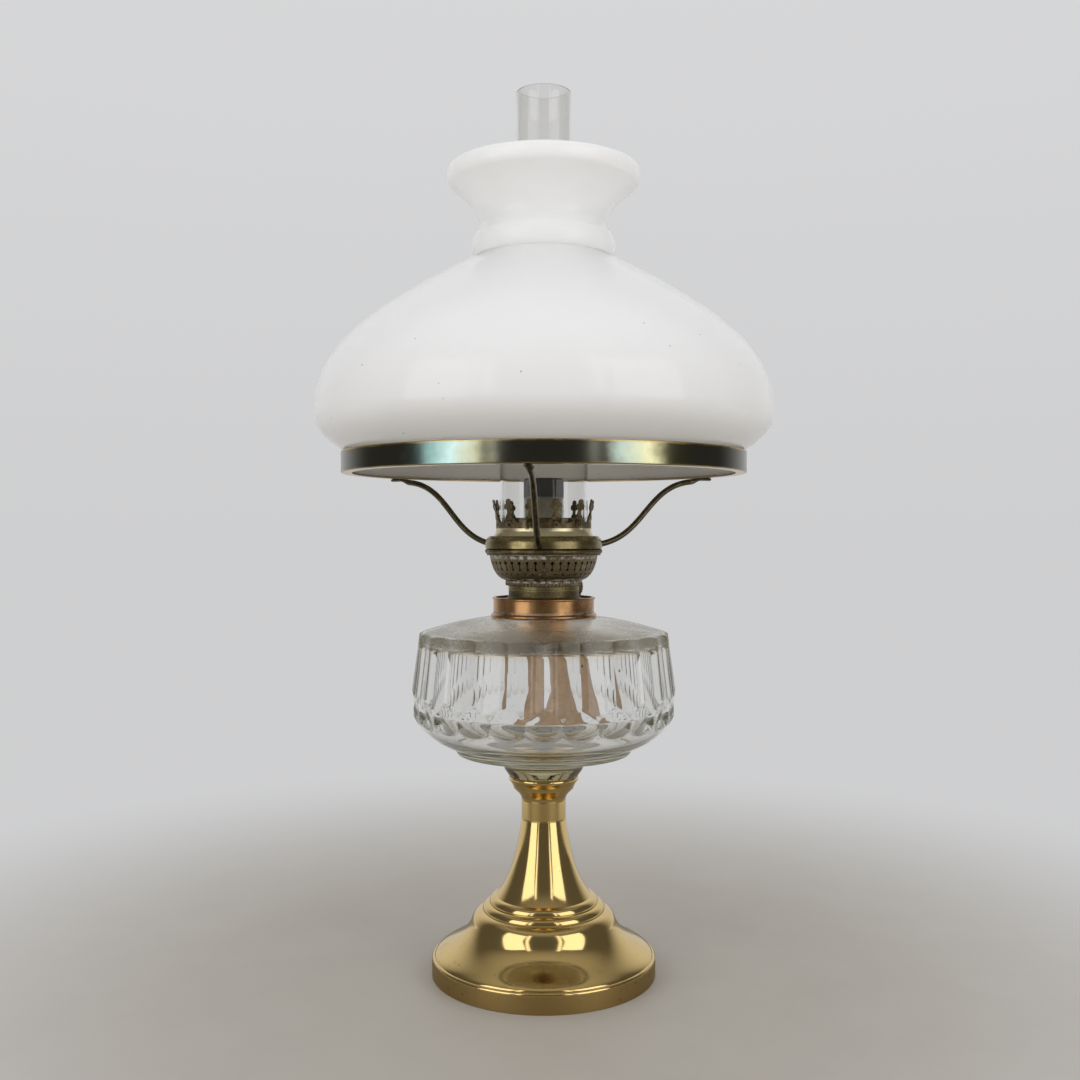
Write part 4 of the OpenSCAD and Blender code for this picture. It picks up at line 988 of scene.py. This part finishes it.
def arm_mesh(s, sides=18):
    """One bent arm along +X: round wire from the base ring, flattened to a foot under the band."""
    ring = reach("shade_ring")
    seat, band = low("holder_base"), low("shade_ring")
    thick = s.arm / MM
    foot_wide, foot_thick, clear = 5.4, 1.9, 0.03
    start = np.array([HOLDER_RADIUS + clear, seat + thick / 2 + 0.2])
    bend = np.array([ring - 15, band - 2.6])
    foot = band - clear - foot_thick / 2
    way = joined(
        bent(start, bend, (0.51, 0.08), (0.51, 0.93), 44),
        curve(bend, (ring - 12.6, band - 2.0), (ring - 11, foot), (ring - 8, foot), 10),
        [[ring - back, foot] for back in (6, 4, 2.4, 1.4, 1)],
    )
    along = np.gradient(way, axis=0)
    along /= np.linalg.norm(along, axis=1, keepdims=True)
    points = []
    for i, (p, t) in enumerate(zip(way, along)):
        flat = smooth(p[0], ring - 15, ring - 9)
        end = {len(way) - 1: 0.5, len(way) - 2: 0.85}.get(i, 1.0)
        half_w = end * share(thick, foot_wide, flat) / 2
        half_t = share(thick, foot_thick, flat) / 2
        for k in range(sides):
            a = TAU * k / sides
            up = half_t * math.sin(a)
            points.append((p[0] - t[1] * up, half_w * math.cos(a), p[1] + t[0] * up))
    return points, tube(len(way), sides)


# Operators

class BuildStep(bpy.types.Operator):
    """What the lamp's building steps share."""

    bl_options = {"REGISTER", "UNDO"}

    def execute(self, context):
        self.build(context.scene.lamp_sizes, context.scene.lamp_colours)
        return {"FINISHED"}


class LAMP_OT_stage(BuildStep):
    """Pale floor and backdrop, soft window light from both sides, and the photograph's camera"""

    bl_idname = "lamp.stage"
    bl_label = "Stage"

    def build(self, sizes, colours):
        scene = bpy.context.scene
        scene.view_settings.view_transform = "Standard"
        # Light crosses many glass faces in the font and is scattered many times inside the shade
        scene.cycles.max_bounces = scene.cycles.transmission_bounces = scene.cycles.glossy_bounces = 32
        scene.cycles.diffuse_bounces = 12
        scene.world = self.sky(colours)
        rim = [TAU * i / 64 for i in range(64)]
        points = [(FLOOR_RADIUS * math.cos(a), FLOOR_RADIUS * math.sin(a), 0) for a in rim]
        floor = piece("floor", points, [tuple(range(64))], self.ground(colours))
        # Place and size in metres, power in watts
        for name, place, size, power in (
            ("window_left", (-1.13, -0.98, 0.66), (0.92, 1.3), 5.4),
            ("window_right", (1.13, -0.98, 0.66), (0.92, 1.3), 5.4),
            ("pane_left", (-0.65, -1.35, 0.8), (0.14, 1.25), 0.8),
            ("pane_right", (0.65, -1.35, 0.8), (0.14, 1.25), 0.8),
        ):
            light = bpy.data.lights.new(name, "AREA")
            light.shape = "RECTANGLE"
            light.size, light.size_y = size
            light.energy = power
            lamp = bpy.data.objects.new(name, light)
            lamp.location = place
            way = np.array((0, 0, 0.3)) - np.array(place)
            lamp.rotation_euler = (
                math.atan2(math.hypot(way[0], way[1]), -way[2]), 0, math.atan2(-way[0], way[1])
            )
            # The lamps show in mirrored light only, not as white panels behind the glass
            lamp.visible_camera = lamp.visible_transmission = False
            scene.collection.objects.link(lamp)
        camera = bpy.data.cameras.new("camera")
        camera.sensor_width = 36
        camera.lens = 36 * FOCAL_LENGTH / PHOTO_WIDTH
        camera.clip_start = 0.02
        eye = bpy.data.objects.new("camera", camera)
        eye.location = CAMERA_PLACE
        eye.rotation_euler = (math.radians(90 - CAMERA_DIP), 0, 0)
        scene.collection.objects.link(eye)
        scene.camera = eye

    def backdrop(self, f, colours):
        """Backdrop colour by how high a direction points."""
        height = f.parts(f.add("ShaderNodeTexCoord", output="Generated"))[2]
        stops = ((0.0, 1.0), (0.5, 1.0), (0.68, 1.08), (1.0, 1.2))
        return f.ramp(height * 0.5 + 0.5, *((at, [k * c for c in colours.backdrop]) for at, k in stops))

    def sky(self, colours):
        """Pale all round; what is mirrored finds a dimmer room on the viewer's side."""
        f = Finish(bpy.data.worlds.new("studio"))
        _, back, up = f.parts(f.add("ShaderNodeTexCoord", output="Generated"))
        mirrored = f.add("ShaderNodeLightPath", output="Glossy Depth").clamped()
        pale = self.backdrop(f, colours)
        room = f.mix((0 - back).step(-0.85, -0.35) * 0.96, pale, (0.075, 0.07, 0.06))
        room = f.mix(up.step(0.6, 0.98), room, (0.38, 0.365, 0.34))
        around = f.mix(mirrored, pale, room)
        return f.done(f.add("ShaderNodeBackground", inputs={"Color": around, "Strength": 1.0}))

    def ground(self, colours):
        """A plain pale floor that fades into the backdrop away from the lamp."""
        f, place = finish("floor")
        x, y, _ = f.parts(place)
        away = (x * x + y * y) ** 0.5
        far = away.step(0.14, 0.62)
        cloud = f.noise(place, 18, 5, 0.6)
        near = f.surface(
            Base_Color=f.mix(cloud, colours.floor, [0.9 * c for c in colours.floor]),
            Roughness=0.5 + cloud * 0.15,
        )
        looked, glossy, through, mirrors = (
            f.add("ShaderNodeLightPath", output=kind)
            for kind in ("Is Camera Ray", "Is Glossy Ray", "Is Transmission Ray", "Glossy Depth")
        )
        # What is mirrored finds the plain floor on the viewer's side, as it finds the dimmer room
        hidden = mirrors.clamped() * (1 - y.step(-0.2, 0.1))
        seen = (looked + (glossy + through) * (1 - hidden)).clamped()
        glow = f.add("ShaderNodeEmission", inputs={"Color": colours.backdrop, "Strength": 1.0})
        return f.done(f.add("ShaderNodeMixShader", inputs={0: far * seen, 1: near, 2: glow}))


class LAMP_OT_foot(BuildStep):
    """Spun brass foot, sleeve and cup, the felt below and the weight and rod inside"""

    bl_idname = "lamp.foot"
    bl_label = "Foot"

    def build(self, sizes, colours):
        brass = polished_brass(colours)
        settle(turned("foot", foot_outline(sizes), brass, 224), "lamp", "polished_brass", "foot_shell")
        base, top, r = low("stem_sleeve"), high("stem_sleeve"), STEM_RADIUS
        sleeve = joined([[r - 1.2, base]], bulge((r, base), (r, base + 0.8), 0.4, 10),
                        [[r, top - 0.5]], bulge((r, top - 0.5), (r, top), 0.2, 6), [[r - 1.2, top]])
        settle(turned("sleeve", sleeve, brass), "lamp", "polished_brass", "stem_sleeve")
        settle(turned("cup", cup_outline(), brass), "lamp", "polished_brass", "font_cup")
        base, top, r = span("foot_felt")
        pad = joined([[0, base + 0.06], [r - 3, base + 0.06]],
                     arc((r - 0.3, base + 0.35), 0.3, 270, 360, 6), [[r, top], [0, top]])
        settle(turned("felt_pad", pad, soft_felt(colours), 120), "lamp", "felt", "foot_felt")
        iron = grained("cast_iron", (0.03, 0.03, 0.03), (0.1, 0.095, 0.09), 420, 0.7, 0.6, 0.15)
        steel = grained("turned_steel", (0.33, 0.33, 0.34), (0.55, 0.55, 0.56), 700, 0.4, 1.0)
        dress("foot_weight", iron)
        for node in ("tie_rod", "tie_nut", "tie_washer"):
            dress(node, steel)


class LAMP_OT_font(BuildStep):
    """Pressed glass font with panels and flutes, its collar and the plaster that holds both"""

    bl_idname = "lamp.font"
    bl_label = "Font"

    def build(self, sizes, colours):
        outline, wide = font_outlines(sizes)
        shoulder = high("font") - 24
        # Bands of colour in the glass: a warm dust tint over the roof, a darker tint in the thick bowl
        # floor and peg, and a golden painted reflection of the brass cup in the peg.
        band_colour = (
            (shoulder, shoulder + 30, 3, (0.96, 0.92, 0.84)),
            (60, 133, 6, (0.84, 0.8, 0.7)),
            (60, 128, 4, (0.62, 0.55, 0.36)),
        )
        glass = clear_glass("font_glass", colours.tint, 0.06, 0.05, band_colour, shoulder, (0.9, 0.9, 0.86))
        font = turned("glass_font", outline, glass, font_angles(sizes), 40, font_cuts(sizes, wide))
        settle(font, "lamp", "font_glass", "font")
        collar = turned("collar", collar_outline(sizes), copper_brass(colours))
        settle(collar, "lamp", "copper_brass", "font_collar")
        plaster = grained("plaster", (0.16, 0.13, 0.07), (0.34, 0.29, 0.19), 500, 0.85)
        dress("peg_cement", plaster)
        dress("collar_cement", plaster)


class LAMP_OT_burner(BuildStep):
    """Burner neck, serrated ring, pierced basket, dome, draft cone and tubes"""

    bl_idname = "lamp.burner"
    bl_label = "Burner"

    def build(self, sizes, colours):
        base, top = high("burner_base"), high("gallery_dome")
        neck = aged_brass("neck_brass", colours, [(base - 2.4, base - 1, 0.4)], 0.35)
        basket = aged_brass("basket_brass", colours, [], 0.25, 0.9, (0.28, 0.22, 0.14))
        # The dome's upper band is painted with a highlight in pale brass.
        dome = aged_brass("dome_brass", colours, [(top - 9, top + 0.3, 1.3)], 0.4, brightened=(0.86, 0.76, 0.5))
        for node, obj in (
            ("burner_base", turned("burner_neck", burner_outline(), neck)),
            ("rope_ring", self.serrated(sizes, basket)),
            ("air_basket", refined("air_basket", basket)),
            ("gallery_dome", turned("dome", dome_outline(), dome)),
            ("gallery_crown", refined("gallery_crown", dome)),
            ("draft_cone", refined("draft_cone", neck)),
            ("wick_tube", refined("wick_tube", sooted_brass(colours))),
            ("draft_tube", refined("draft_tube", neck)),
            ("spindle_bush", refined("spindle_bush", neck)),
        ):
            settle(obj, "burner", "sooted_brass" if node == "wick_tube" else "aged_brass", node)
        cork = grained("pressed_cork", (0.2, 0.11, 0.05), (0.4, 0.25, 0.13), 600, 0.8)
        dress("burner_gasket", cork)

    def serrated(self, sizes, material):
        """A plain ring with a rounded tooth repeated round it."""
        base, top, r = span("rope_ring")
        core = [[BURNER_BORE, base], [r - 0.7, base], [r - 0.7, top], [BURNER_BORE, top]]
        core = turned("core", core, material)
        half = math.pi * r / sizes.rope_teeth * 0.82
        lean, middle, points = 0.27, share(base, top, 0.5), []
        levels = [(base, 0.35), (base + 0.5, 0.85), (middle, 1.0), (top - 0.5, 0.85), (top, 0.35)]
        for z, size in levels:
            for k in range(7):
                t = k / 3 - 1
                y = half * t + lean * (z - middle)
                points.append((r - 0.8 + 0.8 * size * math.cos(t * math.pi / 2), y, z))
            points += [(r - 1.2, y, z), (r - 1.2, y - 2 * half, z)]
        tooth = piece("tooth", points, tube(len(levels), 9), material)
        teeth = repeated("teeth", tooth, sizes.rope_teeth, 0.0, material)
        return merged("serrated_ring", [core, teeth], material)


class LAMP_OT_winder(BuildStep):
    """Winder knob, spindle and toothed wheels"""

    bl_idname = "lamp.winder"
    bl_label = "Winder"

    def build(self, sizes, colours):
        metal = aged_brass("winder_brass", colours, [], 0.4)
        settle(refined("wick_knob", metal), "winder", "knob_metal", "wick_knob")
        for node in ("wick_spindle", "wick_wheels"):
            settle(refined(node, metal), "winder", "aged_brass", node)


class LAMP_OT_wick(BuildStep):
    """Woven cotton wick, charred above and hanging loose in the font"""

    bl_idname = "lamp.wick"
    bl_label = "Wick"

    def build(self, sizes, colours):
        points, faces, uv = wick_sheet(sizes)
        wick = piece("woven_wick", points, faces, woven_cotton(colours, sizes.weave), 50)
        layer = wick.data.uv_layers.new(name="weave")
        corners = np.zeros(len(wick.data.loops), np.int32)
        wick.data.loops.foreach_get("vertex_index", corners)
        layer.uv.foreach_set("vector", np.array(uv, np.float32)[corners].ravel())
        settle(wick, "wick", "wick_cotton", "wick")


class LAMP_OT_chimney(BuildStep):
    """Thin clear chimney"""

    bl_idname = "lamp.chimney"
    bl_label = "Chimney"

    def build(self, sizes, colours):
        glass = clear_glass("chimney_glass", (0.965, 0.96, 0.945), 0.05, 0.01)
        chimney = turned("glass_chimney", chimney_outline(sizes), glass)
        settle(chimney, "chimney", "chimney_glass", "chimney")


class LAMP_OT_holder(BuildStep):
    """Base ring, bent arms and the band that carries the shade"""

    bl_idname = "lamp.holder"
    bl_label = "Shade holder"

    def build(self, sizes, colours):
        base, top, r, inner = low("holder_base"), high("holder_base") + 1.0, HOLDER_RADIUS, 31.6
        rise = 0.7 * (top - base)
        ring = joined(
            [[inner, base], [r - 0.3, base], [r, base + 0.3]],
            curve((r, top - rise), (r, top - 0.45 * rise),
                  (r - 1.0, top - 0.1 * rise), (inner + 0.3, top), 16),
            [[inner, top]],
        )
        brass = aged_brass("ring_brass", colours, [(base + 0.5, top - 0.8, 0.4)], 0.5, gloss=0.16)
        settle(turned("holder_ring", ring, brass), "shade_holder", "dark_brass", "holder_base")
        bronze = dark_bronze(colours)
        arm = piece("arm", *arm_mesh(sizes), bronze)
        arms = repeated("holder_arms", arm, 3, math.radians(-94), bronze)
        settle(arms, "shade_holder", "dark_brass", "holder_arm_1", "holder_arm_2", "holder_arm_3")
        (base, top, r), sheet = span("shade_ring"), 0.9
        band = joined(
            [[r - 6.3, base], [r - 0.7, base]], arc((r - 0.7, base + 0.7), 0.7, -90, 0, 8),
            [[r, top - 1.6]], bulge((r - 0.02, top - 1.6), (r - 0.02, top - 0.5), 0.02, 6),
            arc((r - sheet / 2, top - sheet / 2), sheet / 2, 0, 180, 12),
            [[r - sheet, base + sheet + 0.4]], arc((r - sheet - 0.4, base + sheet + 0.4), 0.4, 0, -90, 6),
            [[r - 6.3, base + sheet]],
        )
        ring = turned("shade_band", band, patinated_ring(colours), 256)
        settle(ring, "shade_holder", "patinated_ring", "shade_ring")


class LAMP_OT_shade(BuildStep):
    """White opal glass shade"""

    bl_idname = "lamp.shade"
    bl_label = "Shade"

    def build(self, sizes, colours):
        outline = shade_outline(sizes)
        steps = 256
        shade = turned("opal_shade", outline, opal_glass(colours), steps, 35)
        tip = int(np.argmax(outline[:, 1]))
        inner = np.repeat(np.arange(len(outline)) > tip + 1, steps).astype(np.float32)
        shade.data.attributes.new("inside", "FLOAT", "POINT").data.foreach_set("value", inner)
        settle(shade, "shade", "opal_glass", "shade")


STEPS = (
    LAMP_OT_stage, LAMP_OT_foot, LAMP_OT_font, LAMP_OT_burner, LAMP_OT_winder,
    LAMP_OT_wick, LAMP_OT_chimney, LAMP_OT_holder, LAMP_OT_shade,
)


class LAMP_PT_panel(bpy.types.Panel):
    """The lamp's building steps, sizes and colours"""

    bl_idname = "LAMP_PT_panel"
    bl_label = "Kerosene lamp"
    bl_space_type = "VIEW_3D"
    bl_region_type = "UI"
    bl_category = "Lamp"

    def draw(self, context):
        for step in STEPS:
            self.layout.operator(step.bl_idname)
        for group in (context.scene.lamp_sizes, context.scene.lamp_colours):
            box = self.layout.box()
            for key in group.__annotations__:
                box.prop(group, key)


CLASSES = (LampSizes, LampColours, *STEPS, LAMP_PT_panel)


def register():
    """Add the classes and the scene's two groups of settings."""
    for cls in CLASSES:
        bpy.utils.register_class(cls)
    bpy.types.Scene.lamp_sizes = bpy.props.PointerProperty(type=LampSizes)
    bpy.types.Scene.lamp_colours = bpy.props.PointerProperty(type=LampColours)


def unregister():
    """Take the classes and settings away again."""
    del bpy.types.Scene.lamp_sizes
    del bpy.types.Scene.lamp_colours
    for cls in reversed(CLASSES):
        bpy.utils.unregister_class(cls)


def main():
    """Build the lamp step by step."""
    register()
    for step in STEPS:
        area, name = step.bl_idname.split(".")
        getattr(getattr(bpy.ops, area), name)()


if __name__ == "__main__":
    main()
